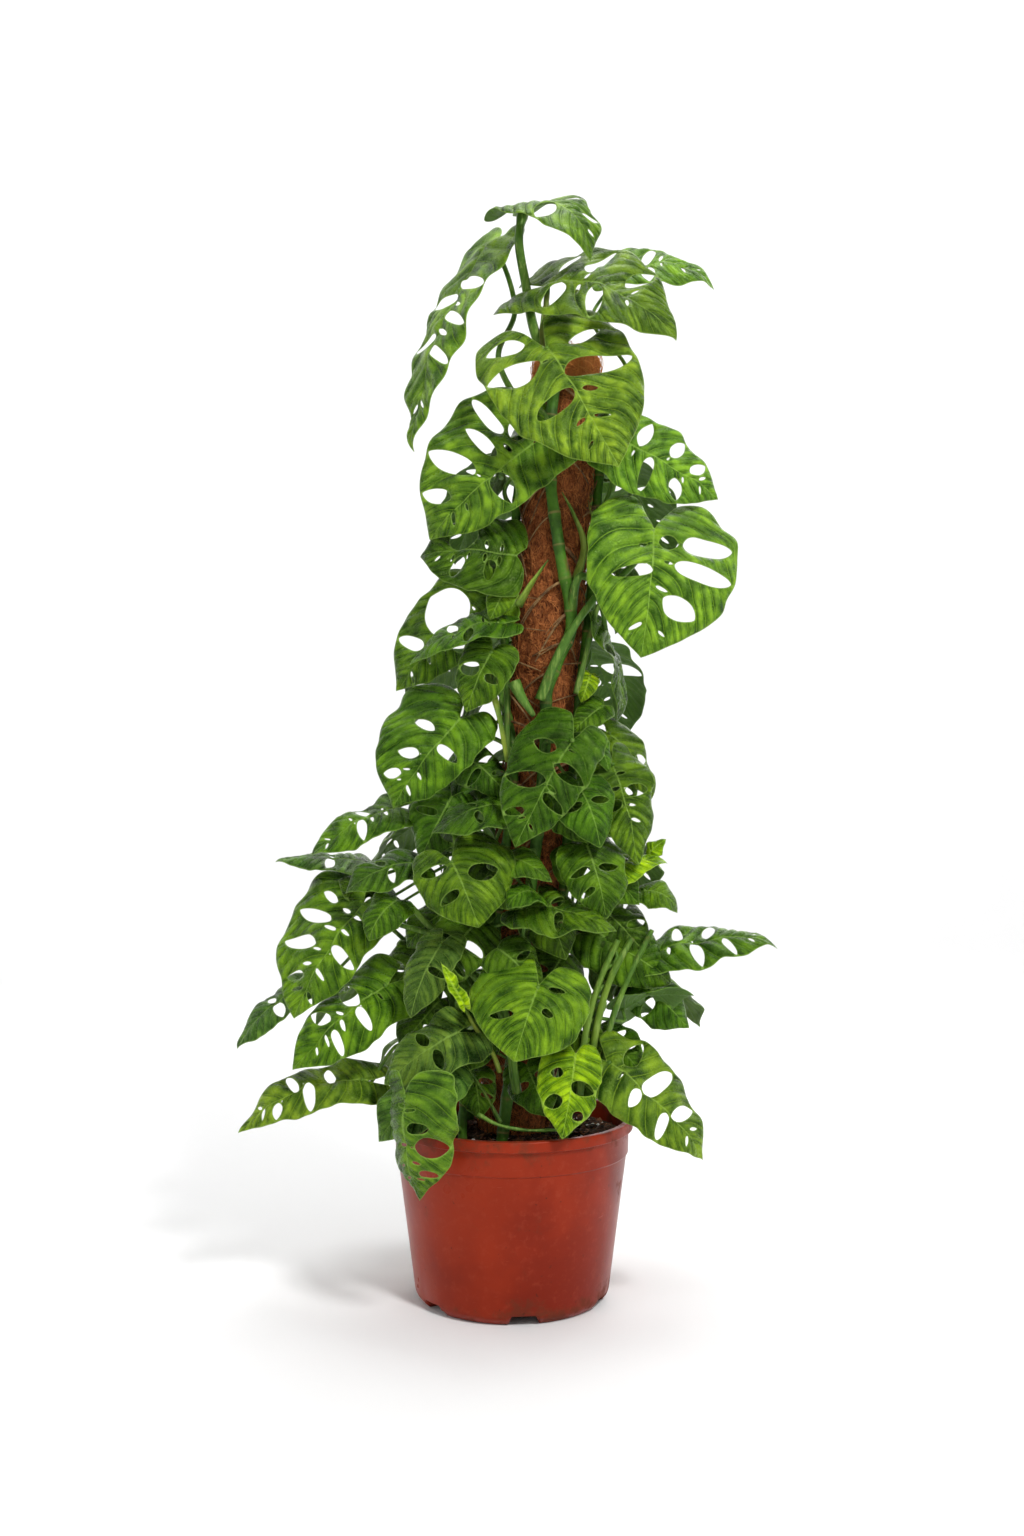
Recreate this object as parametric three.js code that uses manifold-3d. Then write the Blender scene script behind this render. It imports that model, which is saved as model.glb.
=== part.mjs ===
// A monstera with holed leaves, climbing a coir pole in a plastic nursery pot.
// Millimetres, +Z up. The origin is on the pot's axis, at the foot of the pot.
import * as THREE from 'three';
import { mergeVertices } from 'three/addons/utils/BufferGeometryUtils.js';
import Module from 'manifold-3d';

const wasm = await Module();
wasm.setup();

// Driving dimensions.
const pot = {
  rimRadius: 100,
  height: 149,
  lipHeight: 9,
  lipOverhang: 3,
  bandHeight: 29,
  bandStep: 1.2,
  wall: 2.2,
  footRadius: 80,
  footRound: 6,
  floorHeight: 4,
  floorThick: 2.5,
  padRadius: 14,
  ringInner: 62,
  sides: 28,
  notches: 6,
  notchWidth: 24,
  notchHeight: 3.4,
  firstNotch: -83,
  drainRadius: 4.5,
  drainRing: 40,
};
const soil = { top: 134, crown: 3 };
const pole = {
  foot: 22,
  top: 797,
  radius: 28.5,
  leanX: 4.1,
  sides: 14,
  bulges: 6,
  bulge: 0.3,
  shoulder: 14,
  shoulderRadius: 0.8,
};
const gap = 0.35;
const stemGap = gap + 0.15;
const stemOffPole = 0.9 + gap;
const stemSides = 6;
const bladeThick = 1.0;
const holeSides = 5;
const holeMargin = 1.6;
const stalkSides = 3;
const stalkSteps = 5;

// The photograph's view: points are placed by the column and row where they are seen.
const view = {
  distance: 1260,
  height: 417,
  tiltUp: 1.07,
  focal: 1493.3,
  centreColumn: 512,
  centreRow: 768,
};

function radians(degrees) {
  return (degrees * Math.PI) / 180;
}

// The point seen at a column and row, at a depth behind the pot's axis (in front is negative).
function seen(column, row, depth) {
  const across = (column - view.centreColumn) / view.focal;
  const up = (view.centreRow - row) / view.focal;
  const tilt = radians(view.tiltUp);
  const forward = Math.cos(tilt) - Math.sin(tilt) * up;
  const reach = (view.distance + depth) / forward;
  const rise = Math.sin(tilt) + Math.cos(tilt) * up;
  return new THREE.Vector3(reach * across, depth, view.height + reach * rise);
}

// A point round the pole's axis: degrees from +X towards +Y, distance from the axis, and height.
function round(degrees, distance, z) {
  const turn = radians(degrees);
  return new THREE.Vector3(distance * Math.cos(turn), distance * Math.sin(turn), z);
}

function manifoldOf(corners, triangles) {
  return new wasm.Manifold(new wasm.Mesh({ numProp: 3, vertProperties: corners, triVerts: triangles }));
}

// A closed mesh becomes a solid with its vertices merged, and turned if its faces point in.
function solidOf(geometry) {
  const bare = geometry.clone();
  for (const name of Object.keys(bare.attributes)) {
    if (name !== 'position') {
      bare.deleteAttribute(name);
    }
  }
  const merged = mergeVertices(bare, 1e-4);
  const corners = Float32Array.from(merged.attributes.position.array);
  const triangles = Uint32Array.from(merged.index.array);
  const solid = manifoldOf(corners, triangles);
  if (solid.volume() > 0) {
    return solid;
  }
  return manifoldOf(corners, triangles.map((_, i) => triangles[i - (i % 3) + 2 - (i % 3)]));
}

function geometryOf(solid) {
  const mesh = solid.simplify(0.02).getMesh();
  const geometry = new THREE.BufferGeometry();
  geometry.setAttribute('position', new THREE.BufferAttribute(Float32Array.from(mesh.vertProperties), 3));
  geometry.setIndex(new THREE.BufferAttribute(Uint32Array.from(mesh.triVerts), 1));
  return geometry;
}

function largestPiece(solid) {
  return solid.decompose().reduce((most, piece) => (piece.volume() > most.volume() ? piece : most));
}

function lathe(profile, sides) {
  const points = profile.map(([radius, z]) => new THREE.Vector2(radius, z));
  return solidOf(new THREE.LatheGeometry(points, sides).rotateX(Math.PI / 2));
}

function tube(points, radius, sides, steps) {
  const section = new THREE.Shape();
  for (let i = 0; i < sides; i += 1) {
    const turn = (2 * Math.PI * i) / sides;
    const x = radius * Math.cos(turn);
    const y = radius * Math.sin(turn);
    if (i === 0) {
      section.moveTo(x, y);
    } else {
      section.lineTo(x, y);
    }
  }
  section.closePath();
  const path = new THREE.CatmullRomCurve3(points, false, 'centripetal');
  return solidOf(new THREE.ExtrudeGeometry(section, { steps, extrudePath: path, bevelEnabled: false }));
}

const group = new THREE.Group();

function addMesh(name, solid, material) {
  const mesh = new THREE.Mesh(geometryOf(solid), material);
  mesh.name = name;
  group.add(mesh);
}

function finish(color, roughness) {
  return new THREE.MeshStandardMaterial({ color, roughness, metalness: 0 });
}

const potFinish = finish(0x9b3a2c, 0.45);
const soilFinish = finish(0x23140c, 0.95);
const coirFinish = finish(0x94502c, 0.95);
const stemFinish = finish(0x3d6b24, 0.5);
const leafFinish = finish(0x3f7a2e, 0.35);
const limeFinish = finish(0x8fb52f, 0.4);

// The pole stands in the soil and leans to the right as it rises.
function poleX(z) {
  return (z - soil.top) * Math.tan(radians(pole.leanX));
}

function aroundPole(degrees, distance, z) {
  return round(degrees, distance, z).add(new THREE.Vector3(poleX(z), 0, 0));
}

function makePole(extra) {
  const foot = pole.foot - extra;
  const straight = pole.top - pole.foot - pole.shoulder;
  const profile = [[0, foot]];
  for (let i = 0; i <= pole.bulges; i += 1) {
    const radius = pole.radius + extra + (i % 2 === 0 ? 0 : pole.bulge);
    profile.push([radius, foot + straight * (i / pole.bulges)]);
  }
  profile.push([(pole.radius + extra) * pole.shoulderRadius, pole.top - 4 + extra]);
  profile.push([0, pole.top + extra]);
  const upright = lathe(profile, pole.sides);
  return upright
    .translate([0, 0, -soil.top])
    .rotate([0, pole.leanX, 0])
    .translate([0, 0, soil.top]);
}

// The climbing stems: height, bearing round the pole and distance from its surface, foot first.
const stems = {
  front: {
    radius: 5.2,
    path: [[95, -100, 16], [135, -100, 14], [185, -98, 8], [250, -94, 0], [330, -90, 0], [410, -84, 0],
      [470, -84, 0], [503, -86, 0], [528, -74, 0], [554, -58, 0], [578, -64, 0], [612, -80, 0],
      [645, -92, 0], [673, -101, 0], [720, -108, 0], [762, -104, 0]],
  },
  left: {
    radius: 4.2,
    path: [[95, -158, 18], [135, -156, 15], [185, -152, 8], [250, -146, 0], [340, -136, 0], [446, -128, 0],
      [500, -160, 1], [545, -176, 2], [600, -180, 0], [680, -172, 0], [745, -165, 0]],
  },
  right: {
    radius: 4.2,
    path: [[95, -18, 18], [135, -18, 15], [185, -22, 8], [250, -30, 0], [340, -34, 0], [430, -32, 0],
      [503, -28, 0], [577, -14, 1], [650, -4, 0], [740, 6, 0]],
  },
  back: {
    radius: 4.6,
    path: [[95, 82, 18], [135, 84, 15], [185, 86, 8], [250, 92, 0], [350, 98, 0], [450, 92, 0], [550, 84, 0],
      [650, 90, 0], [745, 98, 0]],
  },
  backLeft: {
    radius: 3.8,
    path: [[95, 142, 18], [135, 140, 15], [185, 138, 8], [250, 142, 0], [340, 146, 0], [430, 142, 0]],
  },
  backRight: {
    radius: 3.8,
    path: [[95, 32, 18], [135, 34, 15], [185, 38, 8], [250, 42, 0], [340, 38, 0], [430, 42, 0]],
  },
  lowLeft: {
    radius: 3.6,
    path: [[95, 176, 30], [135, 177, 32], [170, 178, 34], [215, 180, 37], [262, 182, 42]],
  },
  lowRight: {
    radius: 3.6,
    path: [[95, -52, 28], [135, -50, 30], [170, -46, 32], [215, -40, 36], [262, -34, 40]],
  },
  lowFront: {
    radius: 3.6,
    path: [[95, -128, 30], [135, -128, 32], [170, -128, 34], [215, -130, 37], [255, -132, 41]],
  },
};

function stemPoints(stem) {
  return stem.path.map(([z, degrees, out]) => {
    const clear = pole.radius + stemOffPole + stem.radius + out;
    return aroundPole(degrees, clear, z);
  });
}

function stemSteps(stem) {
  return Math.max(6, Math.round((stem.path.length - 1) * 1.15));
}

function makeStem(stem, extra) {
  return tube(stemPoints(stem), stem.radius + extra, stemSides, stemSteps(stem));
}

function stemPointAt(stem, z) {
  const path = new THREE.CatmullRomCurve3(stemPoints(stem), false, 'centripetal');
  let best = path.getPoint(0);
  for (let i = 0; i <= 400; i += 1) {
    const point = path.getPoint(i / 400);
    if (Math.abs(point.z - z) < Math.abs(best.z - z)) {
      best = point;
    }
  }
  return best;
}

// Half the outline of a blade, from the notch at the stalk to the tip:
// across in half widths, along in lengths, where the part behind the stalk is in lobes.
const halfOutline = [[0.4, -1.0], [0.88, -0.62], [1.0, 0.16], [0.89, 0.47], [0.57, 0.73], [0.2, 0.9]];
const smallOutline = [[0.5, -0.9], [1.0, 0.05], [0.88, 0.45], [0.36, 0.84]];
const notchBehindStalk = 3;

// The blade's surface: across in half widths, along in lengths, to a point in space.
function bladePoint(leaf, across, along) {
  const side = across < 0 ? leaf.wide[0] : leaf.wide[1];
  const u = across * side;
  const reach = Math.abs(across);
  const arch = 4 * along * (1 - along);
  const turn = radians(leaf.twist * along);
  const droop = leaf.fold * Math.abs(u) * (0.45 + 0.55 * reach);
  const ripple = leaf.wave * Math.sin(leaf.phase + 7.5 * along + (across < 0 ? 2 : 0)) * reach * reach;
  const lift = ripple - droop;
  const right = u * Math.cos(turn) - lift * Math.sin(turn);
  const out = u * Math.sin(turn) + lift * Math.cos(turn);
  return leaf.base.clone()
    .addScaledVector(leaf.axis, along * leaf.length)
    .addScaledVector(leaf.right, right + leaf.sweep * arch)
    .addScaledVector(leaf.out, out + leaf.bow * arch);
}

function bladeNormal(leaf, across, along) {
  const step = 0.01;
  const here = across + (across < 0 ? -step : step);
  const over = bladePoint(leaf, here, along).sub(bladePoint(leaf, across, along));
  const on = bladePoint(leaf, across, along + step).sub(bladePoint(leaf, across, along - step));
  const normal = on.cross(over).normalize();
  return normal.dot(leaf.out) * Math.cos(radians(leaf.twist * along)) < 0 ? normal.negate() : normal;
}

// The side veins lean from nearly square to the midrib at the stalk to steep at the tip.
function veinAngle(along) {
  return radians(96 - 52 * Math.max(0, Math.min(1, along)));
}

// A hole: a ring of points round its middle, long along the side veins.
function holeRing(leaf, [across, along, long, narrow], count) {
  const side = across < 0 ? -1 : 1;
  const width = across < 0 ? leaf.wide[0] : leaf.wide[1];
  const angle = veinAngle(along);
  const ring = [];
  for (let i = 0; i < count; i += 1) {
    const turn = (2 * Math.PI * i) / count;
    const lengthwise = 0.5 * long * leaf.length * Math.cos(turn);
    const crosswise = 0.5 * narrow * leaf.length * Math.sin(turn);
    const u = side * (lengthwise * Math.sin(angle) + crosswise * Math.cos(angle));
    const v = lengthwise * Math.cos(angle) - crosswise * Math.sin(angle);
    ring.push(new THREE.Vector2(across + u / width, along + v / leaf.length));
  }
  return ring;
}

function inside(ring, point) {
  let odd = false;
  for (let i = 0, j = ring.length - 1; i < ring.length; j = i, i += 1) {
    const a = ring[i];
    const b = ring[j];
    if (a.y > point.y !== b.y > point.y) {
      if (point.x < ((b.x - a.x) * (point.y - a.y)) / (b.y - a.y) + a.x) {
        odd = !odd;
      }
    }
  }
  return odd;
}

// Points of the pattern in millimetres.
function inSize(leaf, points) {
  return points.map((point) => {
    const side = point.x < 0 ? leaf.wide[0] : leaf.wide[1];
    return new THREE.Vector2(point.x * side, point.y * leaf.length);
  });
}

function distanceToRing(point, ring) {
  let least = Infinity;
  for (let i = 0, j = ring.length - 1; i < ring.length; j = i, i += 1) {
    const edge = ring[i].clone().sub(ring[j]);
    const along = point.clone().sub(ring[j]).dot(edge) / edge.lengthSq();
    const foot = ring[j].clone().addScaledVector(edge, Math.max(0, Math.min(1, along)));
    least = Math.min(least, foot.distanceTo(point));
  }
  return least;
}

// Whether every corner of each of two rings keeps the margin from the other ring.
function keepsMargin(ring, other) {
  const far = (point) => distanceToRing(point, other) > holeMargin;
  const farBack = (point) => distanceToRing(point, ring) > holeMargin;
  return ring.every(far) && other.every(farBack);
}

// A hole shrinks towards the midrib until a strip of blade is left round it.
function fittedHole(leaf, hole, outline, earlier) {
  const edge = inSize(leaf, outline);
  const others = earlier.map((ring) => inSize(leaf, ring));
  const shrunk = [...hole];
  for (let i = 0; i < 30; i += 1) {
    const ring = inSize(leaf, holeRing(leaf, shrunk, holeSides));
    const within = ring.every((point) => inside(edge, point)) && keepsMargin(ring, edge);
    const apart = others.every((other) => !inside(other, ring[0]) && keepsMargin(ring, other));
    if (within && apart) {
      break;
    }
    shrunk[0] *= 0.98;
    shrunk[2] *= 0.94;
    shrunk[3] *= 0.96;
  }
  return holeRing(leaf, shrunk, holeSides);
}

// Turns the shared edge of two triangles where the other diagonal gives better ones.
function evenOut(triangles, points) {
  const fixed = new Set();
  const owner = new Map();
  const key = (a, b) => (a < b ? a * 1000 + b : b * 1000 + a);
  const corner = (a, b, c) => {
    const ab = points[b].clone().sub(points[a]);
    const ac = points[c].clone().sub(points[a]);
    return Math.abs(ab.angle() - ac.angle()) % (2 * Math.PI);
  };
  const spread = (a, b, c) => {
    const angle = corner(a, b, c);
    return Math.min(angle, 2 * Math.PI - angle);
  };
  const area = (a, b, c) => points[b].clone().sub(points[a]).cross(points[c].clone().sub(points[a]));
  for (let pass = 0; pass < 12; pass += 1) {
    owner.clear();
    fixed.clear();
    let turned = 0;
    triangles.forEach((triangle, index) => {
      for (let i = 0; i < 3; i += 1) {
        const edge = key(triangle[i], triangle[(i + 1) % 3]);
        if (!owner.has(edge)) {
          owner.set(edge, []);
        }
        owner.get(edge).push(index);
      }
    });
    for (const [edge, both] of owner) {
      if (both.length !== 2 || fixed.has(both[0]) || fixed.has(both[1])) {
        continue;
      }
      const a = Math.floor(edge / 1000);
      const b = edge % 1000;
      const c = triangles[both[0]].find((p) => p !== a && p !== b);
      const d = triangles[both[1]].find((p) => p !== a && p !== b);
      const sameSide = area(c, d, a) * area(c, d, b) >= -1e-9;
      if (!sameSide && spread(c, a, b) + spread(d, a, b) > Math.PI + 0.05) {
        triangles[both[0]] = [c, d, a];
        triangles[both[1]] = [d, c, b];
        fixed.add(both[0]);
        fixed.add(both[1]);
        turned += 1;
      }
    }
    if (turned === 0) {
      break;
    }
  }
  return triangles.map(([a, b, c]) => (area(a, b, c) < 0 ? [a, c, b] : [a, b, c]));
}

// The flat pattern of a blade: its outline, its holes and the loose points that carry its curve.
function bladePattern(leaf) {
  const half = leaf.small ? smallOutline : halfOutline;
  const lobed = ([across, along]) => [across, along < 0 ? along * leaf.lobe : along];
  const outline = [new THREE.Vector2(0, -notchBehindStalk / leaf.length)];
  for (const [across, along] of half.map(lobed)) {
    outline.push(new THREE.Vector2(across, along));
  }
  outline.push(new THREE.Vector2(0, 1));
  for (const [across, along] of half.map(lobed).reverse()) {
    outline.push(new THREE.Vector2(-across, along));
  }
  const holes = [];
  for (const hole of leaf.holes) {
    holes.push(fittedHole(leaf, hole, outline, holes));
  }
  const loose = [];
  const wanted = leaf.small
    ? [[0, 0.3], [0, 0.65]]
    : [[0, 0.08], [0, 0.34], [0, 0.6], [0, 0.82], [-0.5, 0.2], [0.5, 0.2]];
  for (const [x, y] of wanted) {
    const point = new THREE.Vector2(x, y);
    const near = holes.some((ring) => inside(ring, point) || ring.some((p) => p.distanceTo(point) < 0.12));
    if (!near) {
      loose.push([point]);
    }
  }
  const rings = [...holes, ...loose];
  const points = [...outline, ...rings.flat()];
  const scaled = inSize(leaf, points);
  const contour = scaled.slice(0, outline.length);
  const scaledRings = [];
  let start = outline.length;
  for (const ring of rings) {
    scaledRings.push(scaled.slice(start, start + ring.length));
    start += ring.length;
  }
  const triangles = evenOut(THREE.ShapeUtils.triangulateShape(contour, scaledRings), scaled);
  return { points, triangles };
}

// The blade is its pattern laid on the curved surface twice, with a wall round every edge.
function bladeSolid(leaf) {
  const { points, triangles } = bladePattern(leaf);
  const count = points.length;
  const corners = [];
  for (const side of [0.5, -0.5]) {
    for (const point of points) {
      const normal = bladeNormal(leaf, point.x, point.y);
      const place = bladePoint(leaf, point.x, point.y).addScaledVector(normal, side * bladeThick);
      corners.push(place.x, place.y, place.z);
    }
  }
  const faces = [];
  const open = new Map();
  for (const [a, b, c] of triangles) {
    faces.push(a, b, c, count + a, count + c, count + b);
    for (const [from, to] of [[a, b], [b, c], [c, a]]) {
      open.set(`${from}_${to}`, [from, to]);
    }
  }
  for (const [from, to] of open.values()) {
    if (!open.has(`${to}_${from}`)) {
      faces.push(to, from, count + from, to, count + from, count + to);
    }
  }
  const geometry = new THREE.BufferGeometry();
  geometry.setAttribute('position', new THREE.BufferAttribute(Float32Array.from(corners), 3));
  geometry.setIndex(faces);
  return solidOf(geometry);
}

const stalkCurves = new Map();

// The stalk leaves its stem upwards and meets the blade from behind.
function stalkPoints(leaf) {
  const start = leaf.onLeaf
    ? stalkCurves.get(leaf.stem).getPointAt(leaf.from)
    : stemPointAt(stems[leaf.stem], leaf.from);
  const end = leaf.base.clone();
  const apart = start.distanceTo(end);
  const outward = new THREE.Vector3(start.x - poleX(start.z), start.y, 0).normalize();
  const points = [start];
  const lift = new THREE.Vector3(0, 0, leaf.lift * apart).addScaledVector(outward, leaf.spread * apart);
  points.push(start.clone().add(lift));
  points.push(...leaf.via);
  points.push(end.clone().addScaledVector(leaf.out, -leaf.neck));
  points.push(end.clone().addScaledVector(leaf.out, -0.4 * leaf.neck));
  points.push(end.clone().addScaledVector(leaf.out, -0.15));
  return points;
}

const leafDefaults = {
  face: [0, -1, 0.2], bow: 8, fold: 0.12, lobe: 0.2, sweep: 0, twist: 0, wave: 2, phase: 0, holes: [],
  thick: 1.9, lift: 0.3, spread: 0.15, neck: 14, via: [], small: false, lime: false,
};

function makeLeaf(row) {
  const leaf = { ...leafDefaults, ...row };
  leaf.axis = leaf.tip.clone().sub(leaf.base);
  leaf.length = leaf.axis.length();
  leaf.axis.normalize();
  leaf.out = new THREE.Vector3(...leaf.face);
  leaf.out.addScaledVector(leaf.axis, -leaf.out.dot(leaf.axis)).normalize();
  leaf.right = leaf.out.clone().cross(leaf.axis).normalize();
  leaf.onLeaf = !(leaf.stem in stems);
  const points = stalkPoints(leaf);
  const curve = new THREE.CatmullRomCurve3(points, false, 'centripetal');
  const stalk = tube(points, leaf.thick, stalkSides, stalkSteps + leaf.via.length);
  return { leaf, curve, solid: bladeSolid(leaf).add(stalk) };
}

// Leaves seen in the photograph, top to bottom. Sizes in mm, wide is the half width on each side
// (left, right when the tip points down), a hole is [across, along, long, narrow] in the blade's own scale.
const frontLeaves = [
  { name: 'leaf_top', base: seen(526, 204, -24), tip: seen(594, 260, -54), wide: [30, 27],
    face: [0.3, -0.72, 0.62], bow: 20, lobe: 0.22, stem: 'front', from: 756, thick: 3.6, neck: 8, lift: 0.06,
    spread: 0, via: [seen(536, 335, -31), seen(526, 285, -9), seen(519, 240, -22)],
    holes: [[0.5, 0.3, 0.3, 0.12], [-0.5, 0.4, 0.28, 0.12], [0.5, 0.64, 0.2, 0.1]] },
  { name: 'leaf_upper_left', base: seen(487, 249, 8), tip: seen(413, 452, 16), wide: [40, 34],
    face: [-0.9, -0.4, 0.2], bow: 16, lobe: 0.14, stem: 'left', from: 738, thick: 2.8, neck: 12,
    via: [seen(515, 310, 6)],
    holes: [[0.45, 0.2, 0.2, 0.06], [0.5, 0.38, 0.22, 0.06], [0.45, 0.56, 0.2, 0.06],
      [-0.5, 0.28, 0.22, 0.07], [-0.5, 0.5, 0.2, 0.07]] },
  { name: 'leaf_upper_right', base: seen(548, 283, -34), tip: seen(676, 341, -56), wide: [34, 46],
    face: [0.2, -0.85, 0.48], bow: 22, lobe: 0.28, stem: 'back', from: 738, neck: 10, thick: 2.2,
    via: [seen(550, 325, 14)],
    holes: [[0.62, 0.02, 0.24, 0.1], [0.58, 0.26, 0.3, 0.12], [0.5, 0.58, 0.26, 0.1],
      [-0.5, 0.12, 0.24, 0.1], [-0.5, 0.42, 0.26, 0.1]] },
  { name: 'leaf_far_right', base: seen(616, 268, 26), tip: seen(717, 286, 30), wide: [30, 30],
    face: [0.1, -0.7, 0.7], bow: 12, stem: 'right', from: 735, thick: 1.9, via: [seen(592, 320, 20)],
    holes: [[0.5, 0.3, 0.26, 0.1], [-0.5, 0.3, 0.26, 0.1]] },
  { name: 'leaf_crown', base: seen(547, 347, -60), tip: seen(618, 468, -90), wide: [60, 60],
    face: [0.05, -0.95, 0.25], bow: 8, lobe: 0.3, stem: 'front', from: 704, neck: 8,
    via: [seen(531, 400, -56)],
    holes: [[-0.5, -0.12, 0.24, 0.08], [-0.6, 0.1, 0.34, 0.13], [-0.34, 0.44, 0.28, 0.11],
      [0.55, 0.02, 0.22, 0.08], [0.48, 0.28, 0.42, 0.15]] },
  { name: 'leaf_left_big', base: seen(530, 446, -48), tip: seen(428, 540, -36), wide: [68, 34],
    face: [-0.15, -0.95, 0.2], bow: 10, lobe: 0.3, stem: 'left', from: 654, thick: 2.2,
    holes: [[-0.68, 0.08, 0.34, 0.1], [-0.44, 0.24, 0.3, 0.07], [-0.28, 0, 0.16, 0.09],
      [-0.5, 0.5, 0.4, 0.13], [-0.3, 0.74, 0.2, 0.09], [0.42, 0.34, 0.24, 0.12]] },
  { name: 'leaf_right_upper', base: seen(624, 442, -30), tip: seen(719, 499, -20), wide: [36, 32],
    face: [0.1, -0.92, 0.3], bow: 6, lobe: 0.24, stem: 'right', from: 650,
    holes: [[0.6, 0.46, 0.24, 0.1], [0.34, 0.7, 0.18, 0.09], [-0.5, 0.3, 0.3, 0.1],
      [0.5, 0.14, 0.26, 0.09], [-0.45, 0.6, 0.2, 0.09]] },
  { name: 'leaf_right_heart', base: seen(654, 532, -46), tip: seen(641, 658, -62), wide: [52, 70],
    face: [0.12, -0.97, 0.15], bow: 10, stem: 'front', from: 568, thick: 3.6, lobe: 0.22,
    via: [seen(606, 586, -26), seen(640, 556, -26)],
    holes: [[-0.3, 0.36, 0.28, 0.08], [0.18, 0.08, 0.14, 0.08], [0.66, 0.06, 0.36, 0.13],
      [0.62, 0.3, 0.44, 0.14], [0.36, 0.6, 0.26, 0.15]] },
  { name: 'leaf_left_dark', base: seen(512, 556, -44), tip: seen(419, 556, -28), wide: [37, 37],
    face: [-0.15, -0.85, 0.4], bow: 10, lobe: 0.12, stem: 'left', from: 572,
    holes: [[-0.4, 0.52, 0.34, 0.26], [0.4, 0.55, 0.22, 0.12], [0.45, 0.2, 0.22, 0.1]] },
  { name: 'leaf_diamond', base: seen(505, 590, -48), tip: seen(490, 620, -50), wide: [12, 12],
    stem: 'leaf_left_dark', from: 0.3, small: true, neck: 6, thick: 1.5, bow: 2 },
  { name: 'leaf_loop', base: seen(486, 608, -22), tip: seen(394, 691, -6), wide: [50, 26],
    face: [-0.25, -0.9, 0.3], bow: 8, stem: 'left', from: 542,
    holes: [[-0.42, 0.26, 0.4, 0.3], [-0.42, 0.64, 0.24, 0.11], [0.45, 0.35, 0.2, 0.1]] },
  { name: 'leaf_band', base: seen(497, 622, -48), tip: seen(410, 665, -34), wide: [20, 22],
    face: [-0.15, -0.55, 0.8], bow: 10, stem: 'left', from: 522, thick: 1.8,
    holes: [[0.45, 0.3, 0.2, 0.09], [-0.45, 0.45, 0.2, 0.09]] },
  { name: 'leaf_nook', base: seen(491, 652, -54), tip: seen(467, 712, -54), wide: [22, 24],
    face: [-0.2, -0.9, 0.3], bow: 5, stem: 'left', from: 494, thick: 1.8,
    holes: [[-0.46, 0.36, 0.28, 0.22], [0.45, 0.4, 0.22, 0.12]] },
  { name: 'leaf_light', base: seen(458, 722, -48), tip: seen(392, 808, -54), wide: [57, 30],
    face: [-0.25, -0.92, 0.25], bow: 8, lobe: 0.24, stem: 'left', from: 440, thick: 2.2,
    holes: [[-0.3, 0.5, 0.22, 0.08], [-0.28, 0.74, 0.15, 0.08], [0.4, 0.3, 0.22, 0.09],
      [-0.4, 0.2, 0.24, 0.07]] },
  { name: 'leaf_behind_light', base: seen(468, 765, -8), tip: seen(408, 822, -2), wide: [24, 24],
    face: [-0.3, -0.7, 0.6], stem: 'left', from: 404, thick: 1.8, holes: [[0.45, 0.4, 0.22, 0.1]] },
  { name: 'leaf_young', base: seen(590, 676, -30), tip: seen(581, 703, -34), wide: [9, 9],
    face: [0.1, -0.9, 0.3], stem: 'right', from: 482, small: true, neck: 5, thick: 1.6, bow: 3, lime: true },
  { name: 'leaf_fresh', base: seen(602, 706, -30), tip: seen(572, 733, -42), wide: [14, 13],
    face: [0.1, -0.8, 0.5], stem: 'leaf_young', from: 0.3, small: true, neck: 6, thick: 1.4, bow: 3 },
  { name: 'leaf_right_small', base: seen(610, 733, -22), tip: seen(652, 799, -24), wide: [20, 20],
    face: [0.3, -0.8, 0.5], stem: 'right', from: 440, thick: 1.6,
    holes: [[-0.4, 0.32, 0.25, 0.12], [0.42, 0.5, 0.22, 0.1]] },
  { name: 'leaf_puckered', base: seen(613, 764, -52), tip: seen(638, 865, -60), wide: [26, 26],
    face: [0.15, -0.9, 0.4], wave: 4, stem: 'right', from: 404,
    holes: [[-0.45, 0.4, 0.2, 0.09], [0.45, 0.3, 0.2, 0.09]] },
  { name: 'leaf_front', base: seen(572, 740, -74), tip: seen(515, 848, -86), wide: [40, 27],
    face: [-0.1, -0.95, 0.25], bow: 8, stem: 'front', from: 446, thick: 2.2,
    holes: [[-0.42, 0.14, 0.18, 0.09], [-0.44, 0.46, 0.3, 0.12], [-0.34, 0.74, 0.14, 0.07],
      [0.44, 0.28, 0.26, 0.09], [0.42, 0.55, 0.2, 0.08]] },
  { name: 'leaf_shade', base: seen(590, 742, -57), tip: seen(608, 772, -58), wide: [11, 11],
    face: [0.2, -0.8, 0.5], stem: 'front', from: 412, thick: 1.6, small: true },
  { name: 'leaf_under_front', base: seen(578, 782, -70), tip: seen(600, 848, -78), wide: [25, 23],
    face: [0.1, -0.85, 0.45], stem: 'leaf_shade', from: 0.4, thick: 1.6,
    holes: [[-0.45, 0.35, 0.24, 0.09], [0.45, 0.35, 0.24, 0.09]] },
  { name: 'leaf_shelf', base: seen(500, 806, -58), tip: seen(432, 834, -68), wide: [24, 26],
    face: [-0.1, -0.5, 0.85], stem: 'left', from: 362, thick: 1.8,
    holes: [[0.45, 0.35, 0.24, 0.09], [-0.45, 0.35, 0.24, 0.09]] },
  { name: 'leaf_ring', base: seen(452, 862, -80), tip: seen(479, 928, -94), wide: [32, 46],
    face: [0, -0.88, 0.45], bow: 8, lobe: 0.35, stem: 'left', from: 305,
    holes: [[0.42, 0.3, 0.38, 0.2], [-0.5, 0.02, 0.34, 0.16], [-0.4, 0.48, 0.28, 0.1]] },
  { name: 'leaf_pointed', base: seen(503, 858, -62), tip: seen(553, 882, -72), wide: [16, 16],
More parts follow.
